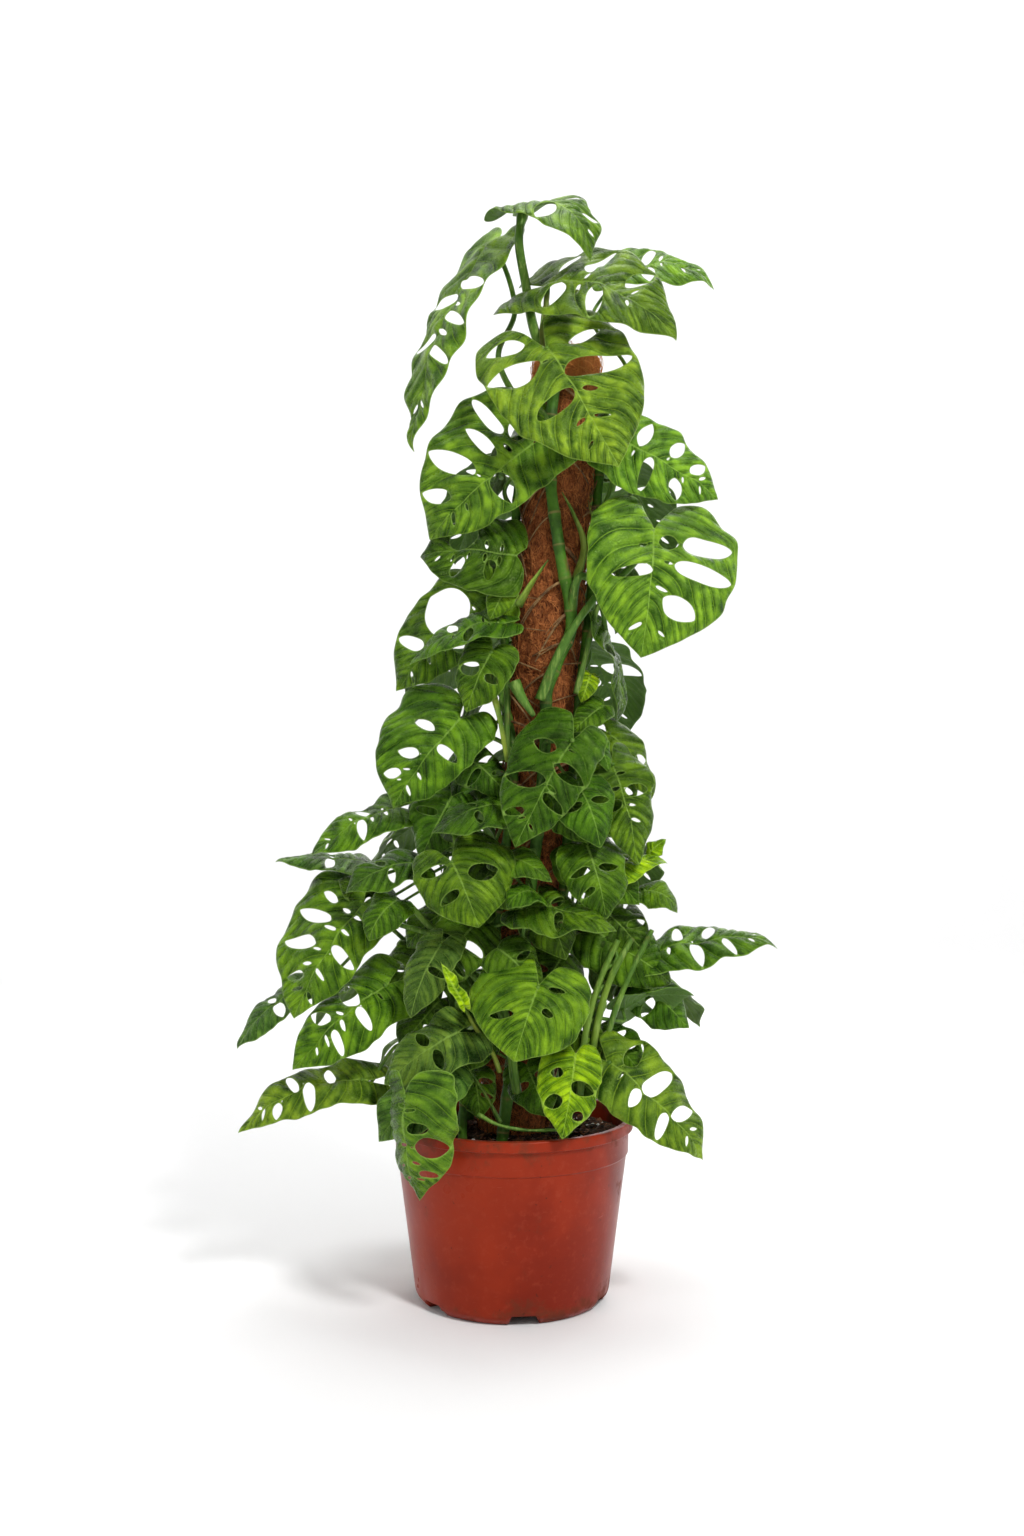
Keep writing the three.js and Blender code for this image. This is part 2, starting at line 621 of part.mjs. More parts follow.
    face: [0.1, -0.7, 0.7], stem: 'front', from: 322, small: true, thick: 1.5, neck: 8 },
  { name: 'leaf_glossy', base: seen(534, 892, -80), tip: seen(505, 910, -90), wide: [14, 15],
    face: [-0.1, -0.6, 0.8], stem: 'leaf_pointed', from: 0.3, small: true, thick: 1.4, neck: 7 },
  { name: 'leaf_edge', base: seen(527, 906, -70), tip: seen(616, 932, -88), wide: [26, 22],
    face: [0, -0.5, 0.87], stem: 'front', from: 236, lift: 0.2,
    holes: [[0.45, 0.3, 0.22, 0.09], [-0.45, 0.4, 0.22, 0.09]] },
  { name: 'leaf_mid_right', base: seen(588, 850, -64), tip: seen(607, 920, -78), wide: [26, 26],
    face: [0.1, -0.9, 0.4], stem: 'right', from: 330, thick: 1.6,
    holes: [[0.45, 0.3, 0.26, 0.09], [-0.45, 0.3, 0.26, 0.09], [-0.4, 0.6, 0.2, 0.08]] },
  { name: 'leaf_wing', base: seen(395, 808, -24), tip: seen(312, 856, -28), wide: [26, 24],
    face: [-0.2, -0.6, 0.75], stem: 'left', from: 350, via: [seen(450, 850, -30)],
    holes: [[-0.5, 0.33, 0.28, 0.1], [0.45, 0.4, 0.24, 0.08]] },
  { name: 'leaf_low_wing', base: seen(360, 862, 6), tip: seen(276, 863, 2), wide: [22, 22],
    face: [0, -0.3, 0.95], bow: 6, stem: 'backLeft', from: 330,
    holes: [[0.45, 0.35, 0.24, 0.09], [-0.45, 0.35, 0.24, 0.09]] },
  { name: 'leaf_left_large', base: seen(362, 905, -30), tip: seen(293, 1019, -46), wide: [59, 30],
    face: [-0.3, -0.85, 0.4], bow: 10, stem: 'lowLeft', from: 256, thick: 2.2,
    holes: [[-0.55, 0.25, 0.31, 0.09], [-0.52, 0.48, 0.29, 0.1], [-0.55, 0.06, 0.14, 0.05],
      [-0.3, 0.72, 0.16, 0.06], [0.45, 0.42, 0.24, 0.08]] },
  { name: 'leaf_left_tail', base: seen(300, 985, -8), tip: seen(239, 1049, -18), wide: [20, 20],
    face: [-0.35, -0.55, 0.75], stem: 'leaf_left_large', from: 0.3, thick: 1.7,
    holes: [[0.45, 0.35, 0.24, 0.1], [-0.45, 0.35, 0.24, 0.1]] },
  { name: 'leaf_fold', base: seen(413, 862, -46), tip: seen(345, 893, -58), wide: [24, 22],
    face: [-0.1, -0.6, 0.8], stem: 'left', from: 272, thick: 1.8,
    holes: [[0.45, 0.35, 0.22, 0.08], [-0.45, 0.4, 0.22, 0.08]] },
  { name: 'leaf_round', base: seen(394, 902, -60), tip: seen(368, 942, -68), wide: [18, 18],
    face: [-0.2, -0.9, 0.4], stem: 'leaf_fold', from: 0.6, small: true, thick: 1.4, neck: 7 },
  { name: 'leaf_bluish', base: seen(440, 945, -72), tip: seen(411, 1018, -82), wide: [19, 19],
    face: [-0.2, -0.85, 0.5], stem: 'left', from: 235, thick: 1.6,
    holes: [[0.45, 0.35, 0.24, 0.09]] },
  { name: 'leaf_rolled', base: seen(463, 1003, -92), tip: seen(440, 962, -94), wide: [5, 5],
    face: [0.2, -0.9, 0.2], bow: 2, fold: -0.9, stem: 'lowFront', from: 240, small: true, neck: 3,
    thick: 1.5, via: [seen(484, 1020, -88)], lime: true },
  { name: 'leaf_left_low', base: seen(385, 985, -44), tip: seen(292, 1070, -58), wide: [32, 32],
    face: [-0.25, -0.8, 0.5], stem: 'lowLeft', from: 178,
    holes: [[-0.45, 0.28, 0.28, 0.1], [-0.45, 0.56, 0.24, 0.1], [0.45, 0.3, 0.26, 0.09],
      [0.45, 0.58, 0.22, 0.08]] },
  { name: 'leaf_far_left', base: seen(362, 1079, -40), tip: seen(238, 1133, -46), wide: [22, 22],
    face: [-0.1, -0.7, 0.65], bow: 10, sweep: -8, stem: 'lowLeft', from: 152, via: [seen(398, 1045, -36)],
    holes: [[0.42, 0.4, 0.2, 0.09], [-0.42, 0.22, 0.16, 0.07], [-0.42, 0.5, 0.2, 0.07],
      [0.42, 0.66, 0.16, 0.07]] },
  { name: 'leaf_ragged', base: seen(455, 1035, -78), tip: seen(385, 1085, -80), wide: [26, 26],
    face: [-0.1, -0.8, 0.6], lobe: 0.3, wave: 4, stem: 'lowFront', from: 216, thick: 1.8,
    holes: [[0.45, 0.3, 0.24, 0.1], [-0.45, 0.35, 0.24, 0.1]] },
  { name: 'leaf_over_rim', base: seen(440, 1072, -78), tip: seen(378, 1142, -86), wide: [26, 26],
    face: [-0.2, -0.85, 0.45], wave: 3, stem: 'lowFront', from: 166, thick: 1.9,
    holes: [[0.45, 0.3, 0.22, 0.1], [-0.45, 0.25, 0.2, 0.12]] },
  { name: 'leaf_hanging', base: seen(403, 1098, -122), tip: seen(419, 1202, -110), wide: [24, 34],
    face: [-0.55, -0.82, 0.1], fold: 0.55, bow: 6, stem: 'lowFront', from: 147, thick: 1.9,
    lift: 0.05, spread: 0.1, via: [seen(456, 1125, -82), seen(428, 1112, -112)],
    holes: [[0.3, 0.28, 0.16, 0.1], [0.56, 0.48, 0.32, 0.18], [0.42, 0.72, 0.2, 0.09]] },
  { name: 'leaf_heart', base: seen(538, 987, -94), tip: seen(514, 1062, -114), wide: [49, 42],
    face: [0, -0.85, 0.5], lobe: 0.42, bow: 6, stem: 'front', from: 200, thick: 2,
    holes: [[-0.42, 0.48, 0.28, 0.08], [0.32, 0.31, 0.14, 0.09], [0.35, -0.05, 0.2, 0.06]] },
  { name: 'leaf_lime', base: seen(575, 1058, -92), tip: seen(562, 1139, -106), wide: [26, 22],
    face: [0.1, -0.92, 0.35], stem: 'lowRight', from: 206, thick: 1.9, lime: true,
    holes: [[-0.5, 0.58, 0.28, 0.16], [0.42, 0.7, 0.16, 0.12], [0.42, 0.36, 0.28, 0.15],
      [-0.48, 0.22, 0.14, 0.1]] },
  { name: 'leaf_right_front', base: seen(610, 1062, -70), tip: seen(706, 1160, -76), wide: [28, 35],
    face: [0.2, -0.8, 0.55], bow: 10, lobe: 0.15, stem: 'lowRight', from: 152, thick: 2,
    holes: [[0.56, 0.1, 0.24, 0.1], [0.42, 0.36, 0.28, 0.13], [0.34, 0.64, 0.28, 0.11],
      [-0.42, 0.3, 0.24, 0.1], [-0.42, 0.58, 0.2, 0.09]] },
  { name: 'leaf_low_shade', base: seen(604, 1068, -50), tip: seen(574, 1106, -56), wide: [15, 15],
    face: [0, -0.8, 0.6], stem: 'leaf_right_front', from: 0.5, small: true, thick: 1.5, neck: 7 },
  { name: 'leaf_dark_under', base: seen(622, 1006, -26), tip: seen(694, 995, -28), wide: [20, 20],
    face: [0.1, 0.6, 0.78], bow: 5, stem: 'lowRight', from: 224, thick: 1.8,
    holes: [[0.45, 0.4, 0.26, 0.1], [-0.45, 0.4, 0.26, 0.1]] },
  { name: 'leaf_right_reach', base: seen(655, 952, -20), tip: seen(779, 944, -16), wide: [26, 28],
    face: [0.05, -0.45, 0.9], bow: 10, stem: 'lowRight', from: 260, thick: 2.2,
    holes: [[0.5, 0.45, 0.2, 0.09], [-0.5, 0.32, 0.24, 0.08], [0.5, 0.2, 0.2, 0.08],
      [-0.45, 0.58, 0.2, 0.07]] },
  { name: 'leaf_yellow', base: seen(606, 874, -44), tip: seen(668, 862, -38), wide: [17, 17],
    face: [0, -0.5, 0.87], stem: 'right', from: 300, thick: 1.8, lime: true,
    holes: [[0.45, 0.35, 0.24, 0.1]] },
  { name: 'leaf_bud', base: seen(650, 852, -34), tip: seen(666, 839, -34), wide: [7, 7],
    face: [0, -0.8, 0.6], stem: 'leaf_yellow', from: 0.5, small: true, thick: 1.3, neck: 5, bow: 1,
    lime: true },
  { name: 'leaf_fill_left', base: seen(468, 900, -34), tip: seen(404, 948, -30), wide: [26, 26],
    face: [-0.2, -0.8, 0.5], stem: 'leaf_fold', from: 0.2, thick: 1.7, holes: [[0.45, 0.35, 0.26, 0.1]] },
  { name: 'leaf_fill_low_left', base: seen(458, 974, -20), tip: seen(408, 1018, -10), wide: [24, 24],
    face: [-0.2, -0.85, 0.4], stem: 'leaf_bluish', from: 0.15, thick: 1.7, holes: [[0.45, 0.35, 0.26, 0.1]] },
  { name: 'leaf_fill_right', base: seen(600, 934, -36), tip: seen(670, 984, -26), wide: [28, 28],
    face: [0.15, -0.9, 0.3], stem: 'leaf_right_reach', from: 0.3, thick: 1.7,
    holes: [[0.45, 0.35, 0.26, 0.1]] },
  { name: 'leaf_fill_low_right', base: seen(552, 984, -50), tip: seen(574, 1026, -52), wide: [18, 14],
    face: [0.1, -0.85, 0.45], stem: 'leaf_dark_under', from: 0.3, thick: 1.7,
    holes: [[0.45, 0.35, 0.26, 0.1]] },
  { name: 'leaf_fill_centre', base: seen(500, 950, -72), tip: seen(540, 992, -74), lobe: 0.1, wide: [20, 20],
    face: [0, -0.85, 0.5], stem: 'leaf_heart', from: 0.5, thick: 1.7,
    holes: [[0.45, 0.35, 0.26, 0.1]] },
  { name: 'leaf_right_mid', base: seen(645, 890, -36), tip: seen(678, 913, -38), wide: [14, 14],
    face: [0.1, -0.7, 0.7], stem: 'leaf_yellow', from: 0.4, small: true, thick: 1.5, neck: 7 },
];

// Leaves round the back, which the photograph hides: bearing, then distance from the pole and height
// of the stalk's end and of the tip. The second and third leaf of a spray branch off the first's stalk.
const backSprays = [
  { name: 'spray_back_top', stem: 'back', from: 690,
    leaves: [[82, 64, 742, 128, 656, 46], [132, 64, 706, 132, 628, 44], [40, 66, 700, 134, 622, 44]] },
  { name: 'spray_back_high', stem: 'back', from: 520,
    leaves: [[98, 64, 596, 136, 512, 50], [146, 68, 556, 142, 474, 44], [58, 70, 546, 144, 466, 42]] },
  { name: 'spray_back_middle', stem: 'back', from: 390,
    leaves: [[84, 72, 456, 158, 376, 50], [112, 84, 424, 166, 348, 42]] },
  { name: 'spray_back_right', stem: 'backRight', from: 340,
    leaves: [[48, 78, 396, 166, 322, 44], [62, 92, 312, 186, 242, 44], [30, 100, 272, 190, 208, 40]] },
  { name: 'spray_back_left', stem: 'backLeft', from: 372,
    leaves: [[152, 78, 412, 164, 338, 42], [124, 92, 318, 186, 248, 44], [156, 104, 276, 200, 212, 40]] },
  { name: 'spray_back_low', stem: 'back', from: 205,
    leaves: [[90, 100, 262, 192, 188, 46], [126, 112, 210, 194, 142, 42]] },
];

function backLeaf(spray, index) {
  const [bearing, baseOut, baseZ, tipOut, tipZ, half] = spray.leaves[index];
  const outward = round(bearing, 1, 0);
  return {
    name: index === 0 ? spray.name : `${spray.name}_${index + 1}`,
    base: aroundPole(bearing, baseOut, baseZ),
    tip: aroundPole(bearing, tipOut, tipZ),
    wide: [half, half],
    face: [outward.x, outward.y, 0.6],
    bow: 14,
    stem: index === 0 ? spray.stem : spray.name,
    from: index === 0 ? spray.from : 0.2 + 0.09 * index,
    holes: [[0.5, 0.14, 0.28, 0.1], [0.48, 0.44, 0.28, 0.1], [-0.5, 0.28, 0.34, 0.12]],
  };
}

const backLeaves = backSprays.flatMap((spray) => spray.leaves.map((_, i) => backLeaf(spray, i)));
const leafRows = [...frontLeaves, ...backLeaves];

// Pot: a thin wall with a lip, an upper band and a notched standing ring, and a floor with drain holes.
const bandBottom = pot.height - pot.bandHeight;
const bandRadius = pot.rimRadius - pot.lipOverhang;
const wallTop = bandRadius - pot.bandStep;

function wallRadius(z) {
  return pot.footRadius + ((wallTop - pot.footRadius) * z) / bandBottom;
}

function makePot() {
  const innerFloor = pot.floorHeight + pot.floorThick;
  const profile = [
    [0, 0],
    [pot.padRadius, 0],
    [pot.padRadius + 2, pot.floorHeight],
    [pot.ringInner, pot.floorHeight],
    [pot.ringInner + 2, 0],
    [wallRadius(0) - pot.footRound, 0],
    [wallRadius(pot.footRound), pot.footRound],
    [wallRadius(bandBottom), bandBottom],
    [bandRadius - 0.5, bandBottom + 1.5],
    [bandRadius, pot.height - pot.lipHeight],
    [pot.rimRadius, pot.height - pot.lipHeight + 1],
    [pot.rimRadius - 0.4, pot.height],
    [bandRadius - pot.wall, pot.height],
    [wallRadius(bandBottom) - pot.wall, bandBottom - 2],
    [wallRadius(innerFloor) - pot.wall, innerFloor],
    [0, innerFloor],
  ];
  let solid = lathe(profile, pot.sides);
  for (let i = 0; i < pot.notches; i += 1) {
    const bearing = pot.firstNotch + (360 * i) / pot.notches;
    const length = wallRadius(0) - pot.ringInner + 20;
    const notch = new THREE.BoxGeometry(length, pot.notchWidth, pot.notchHeight * 2);
    notch.translate(pot.ringInner - 4 + length / 2, 0, 0);
    notch.rotateZ(radians(bearing));
    solid = solid.subtract(solidOf(notch));
    const drain = new THREE.CylinderGeometry(pot.drainRadius, pot.drainRadius, 12, 6);
    drain.rotateX(Math.PI / 2);
    const place = round(bearing + 180 / pot.notches, pot.drainRing, innerFloor - 1);
    drain.translate(place.x, place.y, place.z);
    solid = solid.subtract(solidOf(drain));
  }
  return solid;
}

function makeSoil() {
  const foot = pot.floorHeight + pot.floorThick + gap;
  const clear = pot.wall + gap + 0.4;
  const profile = [
    [0, foot],
    [wallRadius(foot) - clear, foot],
    [wallRadius(bandBottom - 2) - clear, bandBottom - 2],
    [wallRadius(bandBottom) - clear, soil.top - 2],
    [60, soil.top + soil.crown],
    [0, soil.top + soil.crown],
  ];
  let solid = lathe(profile, pot.sides / 2);
  solid = solid.subtract(makePole(gap));
  for (const stem of Object.values(stems)) {
    solid = solid.subtract(makeStem(stem, stemGap));
  }
  return solid;
}

addMesh('pot', makePot(), potFinish);
addMesh('soil', makeSoil(), soilFinish);
addMesh('pole', makePole(0), coirFinish);
for (const [name, stem] of Object.entries(stems)) {
  addMesh(`stem_${name}`, makeStem(stem, 0), stemFinish);
}

// A leaf that branches off another leaf's stalk is one body with it.
const nodeSolids = new Map();
for (const row of leafRows) {
  const { leaf, solid, curve } = makeLeaf(row);
  stalkCurves.set(leaf.name, curve);
  const node = leaf.onLeaf ? leaf.stem : leaf.name;
  const before = nodeSolids.get(node);
  if (before) {
    before.solid = before.solid.add(solid);
  } else {
    nodeSolids.set(node, { solid, stem: leaf.stem, lime: leaf.lime });
  }
}
for (const [name, { solid, stem, lime }] of nodeSolids) {
  const trimmed = solid.subtract(makeStem(stems[stem], stemGap));
  addMesh(name, largestPiece(trimmed), lime ? limeFinish : leafFinish);
}

export default group;
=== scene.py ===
# A monstera with holed leaves, climbing a coir pole in a plastic nursery pot.
# Leaf, stem and pot tables are in millimetres, meshes and node trees in metres.
import math
import random

import bmesh
import bpy
import numpy as np
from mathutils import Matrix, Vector
from mathutils.geometry import delaunay_2d_cdt


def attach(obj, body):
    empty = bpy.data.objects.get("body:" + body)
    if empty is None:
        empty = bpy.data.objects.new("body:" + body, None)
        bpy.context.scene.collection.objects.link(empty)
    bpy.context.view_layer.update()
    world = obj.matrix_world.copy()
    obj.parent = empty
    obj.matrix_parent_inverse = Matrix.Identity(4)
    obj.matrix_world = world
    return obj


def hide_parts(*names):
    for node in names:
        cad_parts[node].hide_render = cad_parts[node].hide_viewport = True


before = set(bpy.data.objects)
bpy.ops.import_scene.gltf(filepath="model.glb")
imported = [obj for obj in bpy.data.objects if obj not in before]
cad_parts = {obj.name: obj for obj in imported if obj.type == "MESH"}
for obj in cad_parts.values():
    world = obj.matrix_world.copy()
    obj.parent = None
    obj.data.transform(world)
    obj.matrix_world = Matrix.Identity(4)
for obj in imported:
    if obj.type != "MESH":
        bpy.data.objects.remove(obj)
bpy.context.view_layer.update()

mm = 0.001


# Colours are given as they look on a screen and turned linear for the shaders.
def screenColour(red, green, blue):
    linear = [(c / 255 / 12.92) if c < 11 else ((c / 255 + 0.055) / 1.055) ** 2.4 for c in (red, green, blue)]
    return (*linear, 1.0)


# The photograph's view: points are placed by the column and row where they are seen.
view = dict(distance=1260, height=417, tiltUp=1.07, focal=1493.3, centreColumn=512, centreRow=768)


def seen(column, row, depth):   # depth is behind the pot's axis, in front is negative
    across = (column - view["centreColumn"]) / view["focal"]
    up = (view["centreRow"] - row) / view["focal"]
    tilt = math.radians(view["tiltUp"])
    reach = (view["distance"] + depth) / (math.cos(tilt) - math.sin(tilt) * up)
    rise = math.sin(tilt) + math.cos(tilt) * up
    return np.array([reach * across, depth, view["height"] + reach * rise])


def unit(vector):
    return vector / np.linalg.norm(vector)


soil = dict(top=134, crown=3)
pole = dict(foot=22, top=797, radius=28.5, leanX=4.1)
stemOffPole = 1.25


def poleX(z):
    return (z - soil["top"]) * math.tan(math.radians(pole["leanX"]))


def aroundPole(degrees, distance, z):
    turn = math.radians(degrees)
    return np.array([distance * math.cos(turn) + poleX(z), distance * math.sin(turn), z])


# A smooth curve through points, spaced by the root of their distance, sampled evenly between each two.
def smoothCurve(points, samples):
    points = [np.asarray(p, float) for p in points]
    before = 2 * points[0] - points[1]
    after = 2 * points[-1] - points[-2]
    line = [before, *points, after]
    result = []
    for i in range(1, len(line) - 2):
        p0, p1, p2, p3 = line[i - 1:i + 3]
        d1 = np.linalg.norm(p2 - p1) ** 0.5
        d0 = np.linalg.norm(p1 - p0) ** 0.5
        d2 = np.linalg.norm(p3 - p2) ** 0.5
        d1 = d1 if d1 > 1e-4 else 1.0
        d0 = d0 if d0 > 1e-4 else d1
        d2 = d2 if d2 > 1e-4 else d1
        leave = ((p1 - p0) / d0 - (p2 - p0) / (d0 + d1) + (p2 - p1) / d1) * d1
        reach = ((p2 - p1) / d1 - (p3 - p1) / (d1 + d2) + (p3 - p2) / d2) * d1
        for k in range(samples):
            t = k / samples
            cubic = 2 * p1 - 2 * p2 + leave + reach
            square = -3 * p1 + 3 * p2 - 2 * leave - reach
            result.append(p1 + leave * t + square * t * t + cubic * t ** 3)
    result.append(points[-1])
    return np.array(result)


def evenly(line, step=None, count=None):   # the same line with its points an even distance apart
    steps = np.linalg.norm(np.diff(line, axis=0), axis=1)
    along = np.concatenate([[0], np.cumsum(steps)])
    count = count or max(3, int(round(along[-1] / step)) + 1)
    wanted = np.linspace(0, along[-1], count)
    return np.stack([np.interp(wanted, along, line[:, k]) for k in range(line.shape[1])], axis=1)


# Shader building blocks
def newMaterial(name):
    material = bpy.data.materials.new(name)
    material.use_nodes = True
    tree = material.node_tree
    shader = next(n for n in tree.nodes if n.type == "BSDF_PRINCIPLED")
    return material, tree, shader


def fillSocket(tree, socket, value):   # a socket value is linked, anything else is set
    if isinstance(value, bpy.types.NodeSocket):
        tree.links.new(value, socket)
    else:
        socket.default_value = value


def addNode(tree, kind, settings=None, **inputs):   # i0, i1 ... stand for inputs by number, _ for a space
    node = tree.nodes.new(kind)
    for name, value in (settings or {}).items():
        setattr(node, name, value)
    for name, value in inputs.items():
        numbered = name[0] == "i" and name[1:].isdigit()
        fillSocket(tree, node.inputs[int(name[1:]) if numbered else name.replace("_", " ")], value)
    return node


def noiseNode(tree, vector, scale, detail=4.0, roughness=0.55, distortion=0.0):
    return addNode(tree, "ShaderNodeTexNoise", Vector=vector, Scale=scale, Detail=detail, Roughness=roughness,
                   Distortion=distortion).outputs["Fac"]


def mapRange(tree, value, low, high, toLow=0.0, toHigh=1.0, kind="SMOOTHSTEP"):
    node = addNode(tree, "ShaderNodeMapRange", dict(interpolation_type=kind), Value=value, From_Min=low,
                   From_Max=high, To_Min=toLow, To_Max=toHigh)
    return node.outputs["Result"]


def calculate(tree, operation, a, b=0.0):
    return addNode(tree, "ShaderNodeMath", dict(operation=operation), i0=a, i1=b).outputs[0]


def times(tree, a, b):
    return calculate(tree, "MULTIPLY", a, b)


def weightedSum(tree, first, *others):   # each is a value and its weight
    total = times(tree, *first)
    for value, weight in others:
        total = calculate(tree, "ADD", total, times(tree, value, weight))
    return total


def mixColour(tree, amount, a, b, blend="MIX"):
    node = addNode(tree, "ShaderNodeMix", dict(data_type="RGBA", blend_type=blend), i0=amount, i6=a, i7=b)
    return node.outputs[2]


def overlay(tree, body, colour, mask, strength):   # a second colour laid over the body where the mask says
    return mixColour(tree, times(tree, mask, strength), body, colour)


def finishShader(tree, shader, colour, relief=None, strength=0.0, distance=0.0, **fixed):
    fillSocket(tree, shader.inputs["Base Color"], colour)
    for name, value in fixed.items():
        fillSocket(tree, shader.inputs[name.replace("_", " ")], value)
    if relief is not None:
        bump = addNode(tree, "ShaderNodeBump", Height=relief, Strength=strength, Distance=distance)
        fillSocket(tree, shader.inputs["Normal"], bump.outputs["Normal"])


def readAttribute(tree, name, output="Fac"):
    return addNode(tree, "ShaderNodeAttribute", dict(attribute_name=name)).outputs[output]


def objectPlace(tree, scale=(1.0, 1.0, 1.0), turn=(0.0, 0.0, 0.0)):
    place = tree.nodes.new("ShaderNodeTexCoord").outputs["Object"]
    if scale == (1.0, 1.0, 1.0):
        return place
    return addNode(tree, "ShaderNodeMapping", Vector=place, Scale=scale, Rotation=turn).outputs[0]


# Mesh building blocks
def meshFrom(name, vertices, faces, material):
    mesh = bpy.data.meshes.new(name)
    mesh.from_pydata([tuple(v) for v in vertices], [], faces)
    mesh.polygons.foreach_set("use_smooth", [True] * len(mesh.polygons))
    mesh.materials.append(material)
    piece = bpy.data.objects.new(name, mesh)
    bpy.context.collection.objects.link(piece)
    return piece


def newTree(name, inputs):   # a node tree with geometry in and out and the named inputs
    tree = bpy.data.node_groups.new(name, "GeometryNodeTree")
    tree.interface.new_socket("Geometry", in_out="INPUT", socket_type="NodeSocketGeometry")
    for title, kind, value in inputs:
        socket = tree.interface.new_socket(title, in_out="INPUT", socket_type=kind)
        if value is not None:
            socket.default_value = value
    tree.interface.new_socket("Geometry", in_out="OUTPUT", socket_type="NodeSocketGeometry")
    return tree, tree.nodes.new("NodeGroupInput").outputs


def finishTree(tree, geometry, surface):   # every tree ends in real geometry with its material
    real = addNode(tree, "GeometryNodeRealizeInstances", Geometry=geometry)
    paint = addNode(tree, "GeometryNodeSetMaterial", Geometry=real.outputs[0], Material=surface)
    addNode(tree, "NodeGroupOutput", Geometry=paint.outputs[0])
    return tree


def applyTree(piece, tree, values):   # runs the tree on the piece and returns its result as a plain mesh
    modifier = piece.modifiers.new(tree.name, "NODES")
    modifier.node_group = tree
    for item in tree.interface.items_tree:
        if item.item_type == "SOCKET" and item.in_out == "INPUT" and item.name in values:
            modifier[item.identifier] = values[item.name]
    bpy.context.view_layer.update()
    ready = piece.evaluated_get(bpy.context.evaluated_depsgraph_get())
    mesh = bpy.data.meshes.new_from_object(ready)
    piece.modifiers.remove(modifier)
    return mesh


# Any path becomes a tube whose radius is the curve's own.
def makeSweepTree():
    tree, given = newTree("sweepAlongPath", [
        ("Sides", "NodeSocketInt", 10), ("Flatness", "NodeSocketFloat", 1.0),
        ("Surface", "NodeSocketMaterial", None)])
    circle = addNode(tree, "GeometryNodeCurvePrimitiveCircle", Radius=1.0, Resolution=given["Sides"])
    squash = addNode(tree, "ShaderNodeCombineXYZ", X=1.0, Y=given["Flatness"], Z=1.0)
    flat = addNode(tree, "GeometryNodeTransform", Geometry=circle.outputs["Curve"], Scale=squash.outputs[0])
    radius = tree.nodes.new("GeometryNodeInputRadius").outputs[0]
    tube = addNode(tree, "GeometryNodeCurveToMesh", Curve=given["Geometry"],
                   Profile_Curve=flat.outputs["Geometry"], Scale=radius, Fill_Caps=True)
    shade = addNode(tree, "GeometryNodeSetShadeSmooth", Geometry=tube.outputs["Mesh"])
    return finishTree(tree, shade.outputs["Geometry"], given["Surface"])


sweepTree = makeSweepTree()


def sweepPaths(paths, sides, material, flatness=1.0):   # paths are (points in mm, radii in mm)
    curve = bpy.data.curves.new("paths", "CURVE")
    curve.dimensions = "3D"
    curve.twist_mode = "MINIMUM"
    for points, radii in paths:
        spline = curve.splines.new("POLY")
        spline.points.add(len(points) - 1)
        for knot, place, radius in zip(spline.points, points, radii):
            knot.co = (*(place * mm), 1.0)
            knot.radius = radius * mm
    carrier = bpy.data.objects.new("paths", curve)
    bpy.context.collection.objects.link(carrier)
    mesh = applyTree(carrier, sweepTree, {"Sides": sides, "Flatness": flatness, "Surface": material})
    bpy.data.objects.remove(carrier)
    bpy.data.curves.remove(curve)
    return mesh


def pieceFrom(mesh, name):
    mesh.name = name
    piece = bpy.data.objects.new(name, mesh)
    bpy.context.collection.objects.link(piece)
    return piece


def keep(piece, slot, *nodes):   # the finished piece rides on the pot's body and stands for its CAD nodes
    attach(piece, "root")
    if nodes:
        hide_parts(*nodes)
    return piece

# Stems, as height, bearing from +X and distance off the pole at each point
stems = dict(
    front=dict(radius=5.2, path=[[95, -100, 16], [135, -100, 14], [185, -98, 8], [250, -94, 0],
        [330, -90, 0], [410, -84, 0], [470, -84, 0], [503, -86, 0], [528, -74, 0], [554, -58, 0],
        [578, -64, 0], [612, -80, 0], [645, -92, 0], [673, -101, 0], [720, -108, 0], [762, -104, 0]]),
    left=dict(radius=4.2, path=[[95, -158, 18], [135, -156, 15], [185, -152, 8], [250, -146, 0],
        [340, -136, 0], [446, -128, 0], [500, -160, 1], [545, -176, 2], [600, -180, 0], [680, -172, 0],
        [745, -165, 0]]),
    right=dict(radius=4.2, path=[[95, -18, 18], [135, -18, 15], [185, -22, 8], [250, -30, 0], [340, -34, 0],
        [430, -32, 0], [503, -28, 0], [577, -14, 1], [650, -4, 0], [740, 6, 0]]),
    back=dict(radius=4.6, path=[[95, 82, 18], [135, 84, 15], [185, 86, 8], [250, 92, 0], [350, 98, 0],
        [450, 92, 0], [550, 84, 0], [650, 90, 0], [745, 98, 0]]),
    backLeft=dict(radius=3.8, path=[[95, 142, 18], [135, 140, 15], [185, 138, 8], [250, 142, 0],
        [340, 146, 0], [430, 142, 0]]),
    backRight=dict(radius=3.8, path=[[95, 32, 18], [135, 34, 15], [185, 38, 8], [250, 42, 0], [340, 38, 0],
        [430, 42, 0]]),
    lowLeft=dict(radius=3.6, path=[[95, 176, 30], [135, 177, 32], [170, 178, 34], [215, 180, 37],
        [262, 182, 42]]),
    lowRight=dict(radius=3.6, path=[[95, -52, 28], [135, -50, 30], [170, -46, 32], [215, -40, 36],
        [262, -34, 40]]),
    lowFront=dict(radius=3.6, path=[[95, -128, 30], [135, -128, 32], [170, -128, 34], [215, -130, 37],
        [255, -132, 41]]),
)

